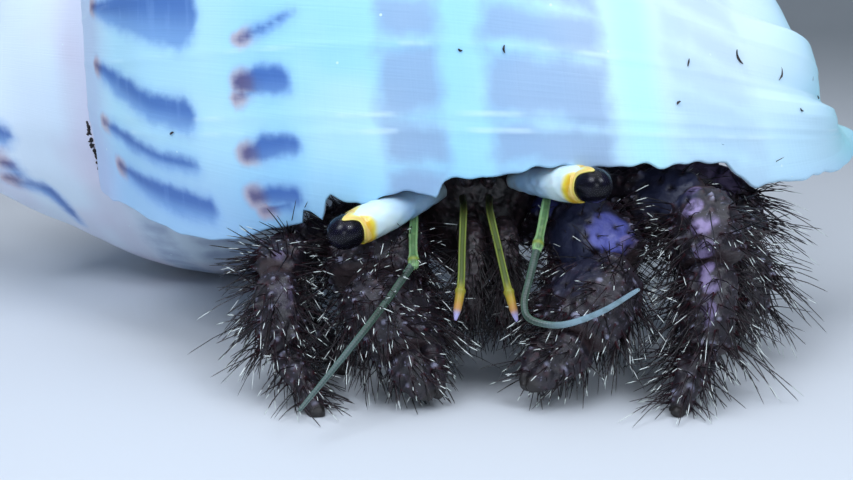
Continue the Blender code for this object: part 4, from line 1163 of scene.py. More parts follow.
def build_columella(finish):
    """The pillar the whorls wind about: a core r = c h + 0.9 mm, swollen in its middle and
    drawn to a point from COLUMELLA_TAPER on, with folds that wind up it at the spiral's own
    rate."""
    h = np.linspace(*COLUMELLA_SPAN, 170)
    f = (h - h[0]) / (h[-1] - h[0])
    angle = ring_angles(72)
    turn = np.log(h / H_END) / GROWTH
    gap = np.angle(np.exp(1j * (angle[None] - turn[:, None])))
    fold = 0.9 * bell(gap / 0.5) + 0.5 * bell((np.abs(gap) - 1.3) / 0.35)
    radius = R_END / H_END * h + 0.9 + 1.0 * np.sin(np.pi * f) ** 2
    taper = np.clip((f - COLUMELLA_TAPER) / (1 - COLUMELLA_TAPER), 0, 1)
    radius = (radius[:, None] + fold) * np.sqrt(1 - taper ** 1.5)[:, None]
    radius[0] = 0.0
    ring = ring_ways(len(angle), SPOKE_1, SPOKE_2)
    grid = APEX + h[:, None, None] * AXIS + radius[..., None] * ring[None]
    fields = dict(age=-3.0, around=170.0, stroke=FAR_MM, warm=0.0, shade=0.0, square=FAR_MM,
                  line=NO_LINE_MM, inside=1.0, old=0.0)
    put_tube("shell_columella", grid, fields, finish, "shell_glaze", "shell")


def build_debris(finish):
    """Grains stuck to the shell: each a short lumpy spindle lying on the skin along a seeded
    way, from -a to a cos t, with a radius of its thickness times sin t."""
    rng = np.random.default_rng(61)
    spread = np.linspace(0, 1, DEBRIS_COUNT)[:, None]
    run = np.array(DEBRIS_FROM) + spread * (np.array(DEBRIS_TO) - np.array(DEBRIS_FROM))
    run = run + rng.uniform(-1, 1, run.shape) * (0.006, 0.6)
    places = np.concatenate([run, np.array(SPECKS)[:, :2]])
    long = np.concatenate([rng.uniform(0.10, 0.26, DEBRIS_COUNT), 0.8 * np.array(SPECKS)[:, 2]])
    u, theta = places[:, 0], np.radians(places[:, 1])
    at = shell_point(u, theta)
    normal = skin_normal(u, theta)
    facing = np.sum(normal * off_axis(at), -1, keepdims=True)
    normal = np.where(facing < 0, -normal, normal)
    way = rng.normal(size=at.shape)
    way = unit(way - normal * np.sum(way * normal, -1, keepdims=True))
    side = np.cross(normal, way)
    many, rows, cols = len(at), 9, 8
    t = np.linspace(0, np.pi, rows)
    thick = np.where(np.arange(many) < DEBRIS_COUNT, 0.10, 0.06) + 0.04 * rng.random(many)
    lump = 1 + 0.35 * rng.uniform(-1, 1, (many, rows, cols))
    radius = thick[:, None, None] * np.sin(t)[None, :, None] * lump
    curl = rng.uniform(-0.5, 0.5, many)[:, None] * np.cos(t)[None] ** 2 * long[:, None]
    spine = (at[:, None] + 0.10 * normal[:, None] - (long[:, None] * np.cos(t))[..., None]
             * way[:, None] + curl[..., None] * side[:, None])
    grid = spine[:, :, None] + radius[..., None] * ring_ways(cols, side, normal)[:, None]
    points, faces = [], []
    for one in grid:
        part, groups = closed_tube(one)
        faces.append([group + sum(len(p) for p in points) for group in groups])
        points.append(part)
    joined = [np.concatenate([groups[k] for groups in faces]) for k in range(2)]
    put_in_frame(build_mesh("shell_debris", np.concatenate(points), joined), finish,
                 "shell_glaze")


# ==================== limbs
def plate_seed(name):
    """A fixed number from a name, for the plate's own random draws."""
    return sum((k + 1) * ord(c) for k, c in enumerate(name)) % 100003


def limb_plates(limb):
    """Name, route, sizes and outline of each plate and finger of a limb."""
    joints, sizes = LIMBS[limb]
    joints = [np.array(p, float) for p in joints]
    claw = limb.startswith("cheliped")
    plates = []
    for k, part in enumerate(CLAW_PLATES if claw else LEG_PLATES):
        start, end = joints[k], joints[k + 1]
        way = unit(end - start)
        rise = unit(PLATE_HINT - way * (way @ PLATE_HINT))
        if part == "dactyl":
            middle = (start + end) / 2 + np.array([0.0, 0.0, 0.7])
            near = start + 0.84 * (end - start)
            near[2] = end[2] + 0.12
            route = [start, middle, near, end]
        else:
            route = [start, (start + end) / 2 + 0.22 * rise, end]
        plates.append((f"{limb}_{part}", route, sizes[k], part))
    if claw:
        start, end = joints[-2], joints[-1]
        way = unit(end - start)
        side = unit(np.cross(way, (0.0, 0.0, 1.0)))
        width, height = sizes[-1]
        for part, sign in (("fixed_finger", -1.0), ("movable_finger", 1.0)):
            root = start + sign * side * width * 0.235
            tip = end + sign * side * width * 0.06
            middle = (root + tip) / 2 + sign * side * width * 0.06
            plates.append((f"{limb}_{part}", [root, middle, tip], (width * 0.46, height),
                           "finger"))
    return plates


def scale_places(kind, size, shape, look, rng):
    """Places (fraction, turn) of a plate's scales, in staggered and jittered rows, then of
    its spines, in a ring near its end and in rows down its back; and which are spines."""
    girth = math.pi * sum(size) / 2
    spacing = look.scale_spacing * (0.8 if kind in TIPPED else 1.0)
    places = []
    lines = max(3, int(shape["length"] / spacing))
    for k in range(lines):
        f = 0.05 + 0.90 * (k + 0.5) / lines
        share = np.interp(f, shape["fraction"], shape["share"])
        many = max(4, int(girth * share / spacing))
        turn = (np.arange(many) + 0.5 * (k % 2) + rng.uniform(-0.28, 0.28, many)) / many
        fs = f + rng.uniform(-0.28, 0.28, many) * 0.9 / lines
        places.append(np.stack([fs, turn], -1))
    scales = sum(len(row) for row in places)
    if kind not in TIPPED:
        many = max(5, int(girth * 0.85 / SPINE_SPACING))
        ring = (np.arange(many) + rng.uniform(-0.3, 0.3, many)) / many
        places.append(np.stack([SPINE_RING + rng.uniform(-0.04, 0.02, many), ring], -1))
        many = max(3, int(shape["length"] / SPINE_SPACING))
        for turn in SPINE_ROWS:
            down = 0.12 + 0.74 * (np.arange(many) + rng.uniform(0, 0.9, many)) / many
            places.append(np.stack([down, turn + rng.uniform(-0.025, 0.025, many)], -1))
    places = np.concatenate(places)
    return places, np.arange(len(places)) >= scales


def raise_scales(flat, centres, ways, broad, high, paleness):
    """Mm that the scales stand up at each point, how pale their crests are there, and how
    near the point is to a scale's outer foot.

    A scale is h e^(-d^2/a^2) (1 + 0.6 tanh(1.6 x/a)), x being the way along the limb. The
    points are taken 4000 at a time.
    """
    relief, crest, root = np.zeros((3, len(flat)))
    for start in range(0, len(flat), 4000):
        some = slice(start, start + 4000)
        part = flat[some, None] - centres[None]
        near = np.einsum("ijk,ijk->ij", part, part) / broad ** 2
        onward = np.einsum("ijk,jk->ij", part, ways) / broad
        bump = np.exp(-near) * (1 + 0.6 * np.tanh(1.6 * onward))
        relief[some] = (bump * high).sum(1)
        crest[some] = (bump * (high > 0.03) * paleness).max(1)
        root[some] = np.exp(-4.0 * (near + 1.0 - 1.8 * onward)).max(1)
    return relief, crest, root


def plate_grid(name, route, size, kind, look):
    """Surface of one plate with its scales, pits and colour fields, and its bristle roots.

    Slow lumps bend the whole, scales stand on it and pits are sunk in it; a few smooth
    fields blend the plate's colours.
    """
    rng = np.random.default_rng(plate_seed(name))
    shape = sweep(route, OUTLINES[kind], *size, PLATE_HINT,
                  power=2.7 if kind in ("palm", "carpus") else 2.25)
    points = shape["points"]
    rows, cols = points.shape[:2]
    normal = outward(points, shape["centre"])
    points = points + normal * (0.07 * lumps(points, 3.4, 41))[..., None]
    places, spine = scale_places(kind, size, shape, look, rng)
    keep = places[:, 0] > 0.03
    row = np.interp(places[:, 0], shape["fraction"], np.arange(rows))
    col = places[:, 1] * cols
    centres = pick(points, row, col)
    ways = shape["way"][np.clip(row.astype(int), 0, rows - 1)]
    marks = patch_fields(name, centres)
    smooth = np.clip(1.15 * np.maximum(marks["blue"], marks["shaded_blue"]) + 0.55 * marks["lilac"],
                     0, 1)
    high = look.scale_height * np.where(spine, rng.uniform(0.5, 2.9, len(places)),
                                        0.25 + rng.random(len(places)) ** 1.4)
    high = high * (1 - smooth) * keep
    broad = np.where(spine, rng.uniform(0.20, 0.36, len(places)),
                     look.scale_spacing * rng.uniform(0.24, 0.44, len(places)))
    paleness = np.where(spine, rng.uniform(0.0, 1.0, len(places)),
                        0.08 + 0.8 * rng.random(len(places)) ** 3)
    flat = points.reshape(-1, 3)
    relief, crest, root = raise_scales(flat, centres, ways, broad, high, paleness)
    fields = patch_fields(name, flat)
    pits = patch_pits(name, points, rng)
    pit = np.zeros(len(flat))
    for at, wide in pits:
        pit = np.maximum(pit, bell(np.linalg.norm(flat - at, axis=-1) / wide))
    relief = (relief - 0.18 * pit).reshape(rows, cols) + 0.03 * lumps(points, 0.9, 43)
    grid = points + normal * relief[..., None]
    if kind in TIPPED:
        grid[..., 2] = np.maximum(grid[..., 2], TOE_FLOOR)
    reach = np.repeat(np.clip(shape["fraction"], 0, 1), cols)
    horn = ease((reach - 0.80) / 0.12) if kind in TIPPED else 0 * reach
    joint = np.maximum(ease((0.06 - reach) / 0.06), ease((reach - 0.965) / 0.03)) * (horn < 0.5)
    colours = dict(crest=np.clip(crest, 0, 1), root=np.clip(root, 0, 1) * (1 - fields["blue"]),
                   horn=horn, pit=np.clip(pit, 0, 1), joint=joint * 0.8, **fields)
    sheet = {key: values.reshape(rows, cols) for key, values in colours.items()}
    roots = dict(fraction=places[:, 0], turn=places[:, 1] % 1.0, at=pick(grid, row, col),
                 normal=unit(pick(normal, row, col)), way=ways, keep=keep & (smooth < 0.45),
                 pits=pits)
    return grid, sheet, roots


# smooth, coloured places on the plates: field, point in mm, radius in mm, strength. The
# darkest blue field is painted shade: the blue skin laid on darker where it lies in shade.
PATCHES = {
    "cheliped_left_carpus": (
        ("shaded_blue", (8.9, -1.2, 13.4), 3.9, 1.0), ("blue", (11.4, -1.4, 13.9), 2.35, 1.0),
        ("lilac", (12.9, -1.0, 12.4), 1.0, 0.7)),
    "cheliped_left_palm": (
        ("shaded_blue", (8.0, -3.2, 10.6), 2.4, 0.6), ("lilac", (4.9, -3.4, 11.2), 1.0, 0.8)),
    "cheliped_left_merus": (
        ("blue", (7.0, 5.6, 15.0), 2.0, 0.7), ("lilac", (4.6, 1.5, 13.6), 1.6, 0.8)),
    "cheliped_right_carpus": (("lilac", (-9.6, 0.6, 13.0), 1.1, 0.3),),
    "leg_2_left_merus": (("shaded_blue", (15.9, 2.4, 16.9), 3.2, 1.0),),
    "leg_3_left_merus": (("lilac", (20.6, 11.0, 18.0), 3.4, 0.6),),
    "leg_3_left_carpus": (("lilac", (22.6, 10.4, 17.2), 2.6, 0.6),),
    "leg_2_left_carpus": (
        ("shaded_blue", (16.7, 0.4, 17.2), 1.9, 1.0), ("lilac", (18.0, 1.0, 17.6), 1.1, 0.8),
        ("lilac", (17.6, -0.8, 15.6), 0.9, 0.95), ("lilac", (18.4, -1.8, 14.0), 1.0, 0.95),
        ("lilac", (18.5, -2.4, 12.4), 0.85, 0.9)),
    "leg_2_left_propodus": (
        ("lilac", (18.6, -3.2, 11.2), 0.85, 0.9), ("lilac", (18.7, -4.0, 9.8), 0.8, 0.8),
        ("lilac", (18.6, -4.8, 8.2), 0.75, 0.7), ("lilac", (18.3, -5.6, 6.6), 0.65, 0.6)),
    "leg_2_right_carpus": (("lilac", (-16.5, -1.4, 12.4), 1.2, 0.5),),
    "leg_2_right_propodus": (("lilac", (-16.0, -3.6, 9.0), 1.2, 0.3),),
}


def patch_fields(name, points):
    """Shares of blue, of the blue skin's painted shade and of lilac at points: a soft-edged
    ball about each place.
    """
    fields = {key: np.zeros(points.shape[:-1]) for key in ("blue", "shaded_blue", "lilac")}
    for key, at, radius, strength in PATCHES.get(name, ()):
        gap = np.linalg.norm(points - np.array(at), axis=-1) + 0.18 * lumps(points, 1.9, 47)
        share = strength * ease((radius - gap) / (0.40 * radius) + 0.5)
        fields[key] = np.maximum(fields[key], share)
    return fields


def patch_pits(name, points, rng):
    """Places and radii of the dark pits scattered over a plate's smooth blue skin."""
    pits = []
    for key, at, radius, _ in PATCHES.get(name, ()):
        if key == "lilac":
            continue
        flat = points[2:-2].reshape(-1, 3)
        close = flat[np.linalg.norm(flat - np.array(at), axis=-1) < radius * 1.05]
        if len(close) == 0:
            continue
        chosen = []
        for _ in range(60):
            spot = close[rng.integers(len(close))]
            if all(np.linalg.norm(spot - other) > 1.15 for other in chosen):
                chosen.append(spot)
        pits += [(spot, rng.uniform(0.20, 0.38)) for spot in chosen[:9]]
    return pits


def build_plates(limb, look, finish):
    """Every plate and finger of a limb as its own closed piece; returns the bristle roots."""
    grown = []
    for name, route, size, kind in limb_plates(limb):
        grid, sheet, roots = plate_grid(name, route, size, kind, look)
        put_tube(name + "_plate", grid, sheet, finish,
                 "limb_knee_lilac" if kind == "carpus" else "limb_plate", name)
        grown.append((name, kind, roots))
    return grown


def bristle_mesh(name, root, way, bend, length, thick, tint, patch, rings=4, sides=3):
    """Many tapering bristles as one mesh.

    Ring k of a bristle lies at root + L (t way + t^2 bend) with t = 0.93 k / (rings - 1),
    and is a triangle whose radius falls by 0.45 t^1.5; a last point closes it. Each
    bristle has its own patch of the OFBake map, BAKE_PATCH across, at its root's place.
    """
    many = len(root)
    t = np.linspace(0, 0.93, rings)
    spine = (root[:, None] + length[:, None, None] * (t[None, :, None] * way[:, None]
             + np.square(t)[None, :, None] * bend[:, None]))
    tip = root + length[:, None] * (way + bend)
    helper = unit(np.cross(way, np.roll(way, 1, axis=1) + 0.137))
    taper = thick[:, None] * (1 - 0.45 * t ** 1.5)[None]
    ring = ring_ways(sides, helper, np.cross(way, helper))
    body = spine[:, :, None] + taper[:, :, None, None] * ring[:, None]
    points = np.concatenate([body.reshape(many, -1, 3), tip[:, None]], axis=1)
    size = rings * sides + 1
    base = (np.arange(many) * size)[:, None, None]
    j = np.arange(sides)
    top = size - 1 - sides
    cap = np.stack([top + j, top + (j + 1) % sides, np.full(sides, size - 1)], -1)
    faces = [(grid_faces(rings, sides)[None] + base).reshape(-1, 4),
             (cap[None] + base).reshape(-1, 3), (j[::-1][None, None] + base).reshape(-1, 3)]
    reach = np.concatenate([np.repeat(t, sides), [1.0]])
    across = np.concatenate([np.tile(j / sides, rings), [0.5]])
    uv = np.stack([patch[:, :1] + BAKE_PATCH * (across[None] - 0.5),
                   patch[:, 1:] + BAKE_PATCH * (reach[None] - 0.5)], -1)
    fields = dict(reach=np.broadcast_to(reach, (many, size)),
                  tint=np.broadcast_to(tint[:, None], (many, size)))
    return build_mesh(name, points.reshape(-1, 3), faces, fields, uv.reshape(-1, 2))


# how far the bristles of each kind of plate lean out, their length and their number
COATS = {"merus": (0.75, 0.70, 1), "carpus": (0.80, 1.0, 3), "palm": (0.68, 1.05, 3),
         "propodus": (0.75, 1.05, 3), "dactyl": (0.65, 0.85, 3), "finger": (0.60, 0.65, 2),
         "mouth": (0.50, 0.85, 3)}
RUBBED_PLATES = ("cheliped_left_merus", "cheliped_left_carpus", "leg_2_left_merus",
                 "leg_2_left_carpus", "leg_3_left_merus", "leg_2_right_carpus")
LONG_COATS = {"leg_2_left": 1.30, "leg_3_left": 1.3, "leg_2_right": 1.15}


def clear_of_eyes(root, way, bend, length):
    """Which bristles stay farther than EYE_CLEARANCE from the axes of both eyestalks."""
    clear = np.ones(len(root), bool)
    for base, tip in EYES.values():
        base, reach = np.array(base), np.array(tip) - base
        for t in (0.3, 0.5, 0.7, 0.85, 1.0):
            part = root + length[:, None] * (t * way + t * t * bend) - base
            share = np.clip(part @ reach / (reach @ reach), 0, 1)
            clear &= np.linalg.norm(part - share[:, None] * reach, axis=1) > EYE_CLEARANCE
    return clear


def bristle_fans(limb, name, kind, roots, place, room, look, rng):
    """Arrays that bristle_mesh takes, for the fans of bristles of one plate.

    A bristle's way is lean x normal + (1.25 - lean) x the limb's own direction, plus a
    seeded spread; it bends towards the direction of the limb.
    """
    lean, long, many = COATS[kind]
    # the lip rubs the backs of the upper joints bare
    up = roots["normal"][:, 2]
    rubbed = np.zeros(len(up), bool)
    if f"{limb}_{kind}" in RUBBED_PLATES:
        rubbed = (up > 0.4) & ((kind == "merus") | (roots["fraction"] < 0.35))
    haired = roots["keep"] & ~rubbed & (roots["fraction"] < (0.80 if kind in TIPPED else 1.0))
    chosen = np.nonzero(haired)[0]
    index = np.repeat(chosen, rng.integers(max(0, many - 2), many + 2, len(chosen)))
    n = len(index)
    normal, way = roots["normal"][index], roots["way"][index]
    spread = rng.normal(size=(n, 3)) * look.bristle_spread
    side = np.cross(normal, way)
    shift = rng.uniform(-0.22, 0.22, (n, 1)) * side + rng.uniform(0.05, 0.30, (n, 1)) * way
    length = look.bristle_length * long * LONG_COATS.get(limb, 1.0) * rng.uniform(0.40, 1.15, n)
    length = length * np.where(rng.random(n) < 0.12, 1.3, 1.0)
    thick = look.bristle_thickness / 2 * rng.uniform(0.75, 1.15, n)
    bend = 0.16 * way + rng.normal(size=(n, 3)) * 0.05
    tint = rng.random(n) * (0.62 if kind == "mouth" else 1.0)
    patch = np.stack([(place + 0.08 + 0.84 * roots["turn"][index]) * room,
                      0.04 + 0.92 * np.clip(roots["fraction"][index], 0, 1)], -1)
    patch += rng.uniform(-0.006, 0.006, (n, 2))
    fans = [(roots["at"][index] + shift - 0.12 * normal,
             unit(lean * normal + (1.25 - lean) * way + spread), bend, length, thick, tint,
             patch)]
    if roots["pits"]:
        # a few short dark bristles stand in the pits of the smooth skin
        spots = np.array([spot for spot, _ in roots["pits"]])
        m = len(spots)
        out = unit(spots - np.array(PATCHES[name][0][1]) + 3.0 * np.array([0.0, -1.0, 0.3]))
        fall = rng.normal(size=(m, 3)) * 0.3
        fans.append((spots, unit(out + fall), 0.1 * out, rng.uniform(0.9, 2.0, m),
                     np.full(m, look.bristle_thickness / 2), rng.random(m) * 0.2,
                     np.stack([(place + rng.uniform(0.2, 0.5, m)) * room,
                               rng.uniform(0.3, 0.6, m)], -1)))
    return fans


def grow_bristles(limb, grown, look, finish):
    """The limb's coat: a fan of bristles from the outer edge of every scale, kept clear of
    the eyes and above the floor."""
    rng = np.random.default_rng(plate_seed(limb) + 7)
    parts = []
    for k, (name, kind, roots) in enumerate(grown):
        parts += bristle_fans(limb, name, kind, roots, k, 1.0 / len(grown), look, rng)
    joined = [np.concatenate(column) for column in zip(*parts)]
    clear = clear_of_eyes(*joined[:4])
    root, way, bend, length, thick, tint, patch = (column[clear] for column in joined)
    tip = root + length[:, None] * (way + bend)
    low = tip[:, 2] < BRISTLE_LOW
    way[low, 2] += (BRISTLE_LOW - tip[low, 2]) / length[low]
    put_in_frame(bristle_mesh("bristles_" + limb, root, way, bend, length, thick, tint, patch),
                 finish, "limb_plate")


# ==================== eyes
STALK_OUTLINE = ((0.0, 0.0), (0.0, 0.36), (0.03, 0.48), (0.12, 0.57), (0.30, 0.72),
                 (0.55, 0.88), (0.78, 0.98), (0.92, 1.01), (1.0, 0.98))
STALK_ROWS, RIM_ROWS, INNER_ROWS = 70, 14, 8  # rows of its skin, its rim and its hidden end
SPUR_LEAN = 0.45  # radians that the collar's spur leans forward


def eye_radius(x):
    """Radius of the eye, an egg whose widest place is a third of the way along."""
    low = np.clip((0.36 - x) / 0.50, 0, 1)
    high = np.clip((x - 0.36) / 0.64, 0, 1)
    return CORNEA / 2 * np.sqrt(np.clip(1 - low ** 2.2 * 0.6 - high ** 2.2, 0, 1))


def build_stalk(side, base, axis, across, stalk, ring, finish):
    """The stalk is a round body of swelling radius; its far rim runs over the eye at
    1 + spur e^(-((angle - spur angle) / w)^2), so that a hooked tongue of the yellow collar
    lies on the eye, and then turns in under it to close."""
    cols = len(ring)
    angle = ring_angles(cols)
    spur_at = math.pi / 2 + (-1.0 if across[1] > 0 else 1.0) * -SPUR_LEAN
    gap = np.angle(np.exp(1j * (angle - spur_at)))
    spur = 0.46 * bell(gap / 0.30) + 0.05 * ripple(angle, 71, 2, 5) - 0.05
    wide = 0.10 * bell(gap / 1.1)
    shape = smooth_through(STALK_OUTLINE, 300)
    x = np.linspace(0, 1, STALK_ROWS)
    # the tiny slope keeps the outline's places rising where it starts with a flat end
    share = np.interp(x, shape[:, 0] + np.arange(300) * 1e-7, shape[:, 1])
    share[0] = 0.0
    skin = [np.broadcast_to((run * size)[:, None], (STALK_ROWS, cols))
            for run, size in ((x, stalk), (share, CORNEA / 2))]
    t = np.linspace(0, 1, RIM_ROWS + 1)[1:, None]
    over = t * (0.10 + wide + spur)[None]
    along_rim = stalk + over * CORNEA_LENGTH
    radius_rim = eye_radius(np.clip(over, 0, 1)) + 0.07 * np.sqrt(np.clip(1.04 - t, 0, 1))
    t = np.linspace(0, 1, INNER_ROWS + 1)[1:, None]
    along_in = along_rim[-1:] + t * (stalk * 0.9 - along_rim[-1:])
    radius_in = (radius_rim[-1:] - 0.12) * (1 - t) ** 0.7
    along_mm = np.concatenate([skin[0], along_rim, along_in])
    radius = np.concatenate([skin[1], radius_rim, radius_in])
    grid = base + along_mm[..., None] * axis + radius[..., None] * ring[None]
    grid[:STALK_ROWS] += (0.02 * lumps(grid[:STALK_ROWS], 1.1, 73))[..., None] * ring[None]
    collar = (stalk - along_mm) - 0.9 * bell(gap / 0.8)[None] + 0.35 * np.sin(3 * angle)[None]
    hidden = np.arange(len(along_mm))[:, None] >= STALK_ROWS + RIM_ROWS
    free_edge = np.where(hidden, 0.0, along_rim[-1:] - along_mm)
    fields = dict(reach=along_mm / stalk, rim=np.clip(collar, 0, 6),
                  edge=np.clip(free_edge, 0, 6))
    put_tube(f"eyestalk_{side}_skin", grid, fields, finish, "eyestalk_pale", f"eyestalk_{side}")


def build_eye(side, stalk_finish, black_finish, clear_finish):
    """Eyestalk, black eye and its clear cover."""
    base, tip = (np.array(p, float) for p in EYES[side])
    axis = unit(tip - base)
    stalk = np.linalg.norm(tip - base) - CORNEA_LENGTH
    rise = unit(UP - axis * (axis @ UP))
    across = np.cross(axis, rise)
    ring = ring_ways(112, across, rise)
    build_stalk(side, base, axis, across, stalk, ring, stalk_finish)
    x = (1 - np.cos(np.linspace(0, np.pi, 46))) / 2
    for name, grow, finish, nodes in (
            (f"eye_{side}_black", -0.10, black_finish, (f"cornea_{side}",)),
            (f"eye_{side}_clear", 0.0, clear_finish, ())):
        radius = np.maximum(eye_radius(x) + grow, 0.0)
        radius[[0, -1]] = 0.0
        grid = (base + (stalk + x * (CORNEA_LENGTH + grow))[:, None, None] * axis
                + radius[:, None, None] * ring[None])
        put_tube(name, grid, {}, finish, "cornea_black", *nodes)


# ==================== feelers
FEELER_HINT = np.array([0.15, 1.0, 0.35])  # roughly the feelers' back
# outlines as for the plates, diameters in mm, and places of the joints' knots
ANTENNULE = ((0.0, 0.0), (0.0, 0.5), (0.02, 0.62), (0.30, 0.66), (0.50, 0.62), (0.79, 0.66),
             (0.83, 0.94), (0.855, 0.80), (0.90, 0.74), (0.945, 0.66), (0.97, 0.48),
             (1.0, 0.2), (1.0, 0.0))
PEDUNCLE = ((-0.1, 0.0), (-0.1, 0.4), (-0.05, 0.60), (0.20, 0.64), (0.44, 0.66), (0.50, 0.62),
            (0.80, 0.62), (0.93, 0.80), (1.02, 0.76), (1.10, 0.56), (1.12, 0.0))
WHIP = ((0.0, 0.0), (0.0, 0.8), (0.02, 1.0), (0.25, 0.90), (0.6, 0.78), (0.9, 0.60),
        (1.0, 0.42), (1.0, 0.0))
ANTENNULE_WIDE, PEDUNCLE_WIDE, WHIP_WIDE = 0.95, 1.18, 0.64
ANTENNULE_KNOT, PEDUNCLE_KNOT, NO_KNOT = 0.83, 0.97, 9.0
WHIP_RING = 0.24  # mm between the whip's rings


def rod(route, outline, wide, cols, rows):
    """A round rod of a feeler along its route."""
    return sweep(route, outline, wide, wide, FEELER_HINT, cols=cols, rows=rows, power=2.0)


def build_feelers(finishes):
    """Antennules, antenna stems, whips: round rods along curves, swollen at the joints."""
    for name, points in ANTENNULES.items():
        # from inside the head to the tip
        inner = np.array(points[0]) + (0.0, 1.3, 0.1)
        route = [inner, *points[:2], (np.array(points[1]) + points[2]) / 2, *points[2:]]
        put_rod(name, rod(route, ANTENNULE, ANTENNULE_WIDE, 28, 120), finishes["feeler"],
                "feeler_olive", ANTENNULE_KNOT)
    for name, points in PEDUNCLES.items():
        put_rod(name, rod(points, PEDUNCLE, PEDUNCLE_WIDE, 32, 90), finishes["stem"],
                "feeler_olive", PEDUNCLE_KNOT)
    for name, points in FLAGELLA.items():
        shape = rod(points, WHIP, WHIP_WIDE, 20, 480)
        rings = np.cos(shape["fraction"] * shape["length"] / WHIP_RING * 2 * np.pi)
        swell = 1 + 0.015 * rings
        middle = shape["centre"][:, None]
        shape["points"] = middle + (shape["points"] - middle) * swell[:, None, None]
        pale = ease((shape["fraction"] - 0.40) / 0.25) * (1.0 if name.endswith("left") else 0.12)
        put_rod(name, shape, finishes["whip"], "flagellum_blue_grey", NO_KNOT,
                ring=0.5 - 0.5 * rings, pale=pale)


def put_rod(name, shape, finish, slot, knot_at, **row_fields):
    """A feeler's piece with its colour fields; facing is 1 along the rod's front line."""
    reach = shape["fraction"][:, None]
    front = np.array([0.0, -1.0, 0.2])
    front = unit(front - (shape["way"] @ front)[:, None] * shape["way"])
    normal = outward(shape["points"], shape["centre"])
    fields = {key: values[:, None] for key, values in row_fields.items()}
    fields.update(reach=reach, knot=bell((reach - knot_at) / 0.035),
                  facing=np.clip((normal * front[:, None]).sum(-1), 0, 1))
    put_tube(name + "_skin", shape["points"], fields, finish, slot, name)


# ==================== body
def scattered_roots(name, shape, many=150):
    """Seeded places all over a rod's skin for bristles to grow from."""
    rng = np.random.default_rng(plate_seed(name) + 3)
    grid = shape["points"]
    fraction, turn = rng.uniform(0.30, 0.97, many), rng.random(many)
    row = np.interp(fraction, shape["fraction"], np.arange(len(grid)))
    col = turn * grid.shape[1]
    normal = unit(pick(outward(grid, shape["centre"]), row, col))
    return dict(fraction=fraction, turn=turn, keep=np.ones(many, bool), at=pick(grid, row, col),
                normal=normal, way=shape["way"][row.astype(int)], pits=[])


def put_cuticle(name, grid, centre, finish, slot, *nodes):
    """A plain piece of thin cuticle with fine grains; crest marks the grains' tops."""
    normal = outward(grid, centre)
    grain = lumps(grid, 0.55, plate_seed(name), waves=20)
    grid = grid + normal * (0.035 * grain)[..., None]
    put_tube(name, grid, dict(crest=np.clip(grain / 2, 0, 1)), finish, slot, *nodes)


def build_shield(finish):
    """Carapace and breast: a rounded box, narrower below, whose front hangs down between the
    claws' roots, with the groove of the neck across its back."""
    middle = (SHIELD_TOP + SHIELD_BOTTOM) / 2
    route = [(0.0, SHIELD_FRONT, middle), (0.0, (SHIELD_FRONT + SHIELD_BACK) / 2, middle + 0.8),
             (0.0, SHIELD_BACK, middle + 1.6)]
    shape = sweep(route, SHIELD, SHIELD_WIDTH, SHIELD_TOP - SHIELD_BOTTOM, UP, step=0.22,
                  power=2.2)
    grid = shape["points"]
    low = np.clip((middle - grid[..., 2]) / 5.0, 0, 1)
    grid[..., 0] *= 1 - np.where(grid[..., 0] > 0, *BREAST_NARROWING) * low
    grid[..., 2] -= BREAST_DROP * low * ease((12.0 - grid[..., 1]) / 6.0)
    normal = outward(grid, shape["centre"])
    x, y, z = np.moveaxis(grid, -1, 0)
    groove = GROOVE_MM * bell((y - GROOVE_AT - 0.08 * np.square(x)) / 0.7) * (z > middle)
    grid = grid + normal * (0.10 * lumps(grid, 2.2, 81) - groove)[..., None]
    put_cuticle("cephalothorax_shield", grid, shape["centre"], finish, "breast_and_mouth",
                "cephalothorax")


def put_small_rods(routes, outline, size, step, finish):
    """Jaw feet or small legs, swept along their routes; returns their shapes by name."""
    shapes = {}
    for name, points in routes.items():
        shapes[name] = shape = sweep(points, outline, *size, ROD_HINT, step=step)
        put_cuticle(name + "_skin", shape["points"], shape["centre"], finish,
                    "breast_and_mouth", name)
    return shapes


def build_body(coat_look, finishes):
    """Shield, scales at the eyes' roots, jaw feet, small legs and the soft hind body."""
    finish = finishes["body"]
    build_shield(finish)
    for side, sign in (("right", -1.0), ("left", 1.0)):
        shape = sweep([(sign * x, y, z) for x, y, z in ACICLE_ROUTE], ACICLE, *ACICLE_SIZE, UP,
                      step=0.1)
        put_cuticle(f"ocular_acicle_{side}_scale", shape["points"], shape["centre"], finish,
                    "limb_plate", f"ocular_acicle_{side}")
    mouth = put_small_rods(MAXILLIPEDS, MAXILLIPED, MAXILLIPED_SIZE, 0.11, finish)
    grown = [(name, "mouth", scattered_roots(name, shape)) for name, shape in mouth.items()]
    grow_bristles("maxillipeds", grown, coat_look, finishes["bristle"])
    put_small_rods(SMALL_LEGS, SMALL_LEG, SMALL_LEG_SIZE, 0.14, finish)
    build_abdomen(finishes["soft"])


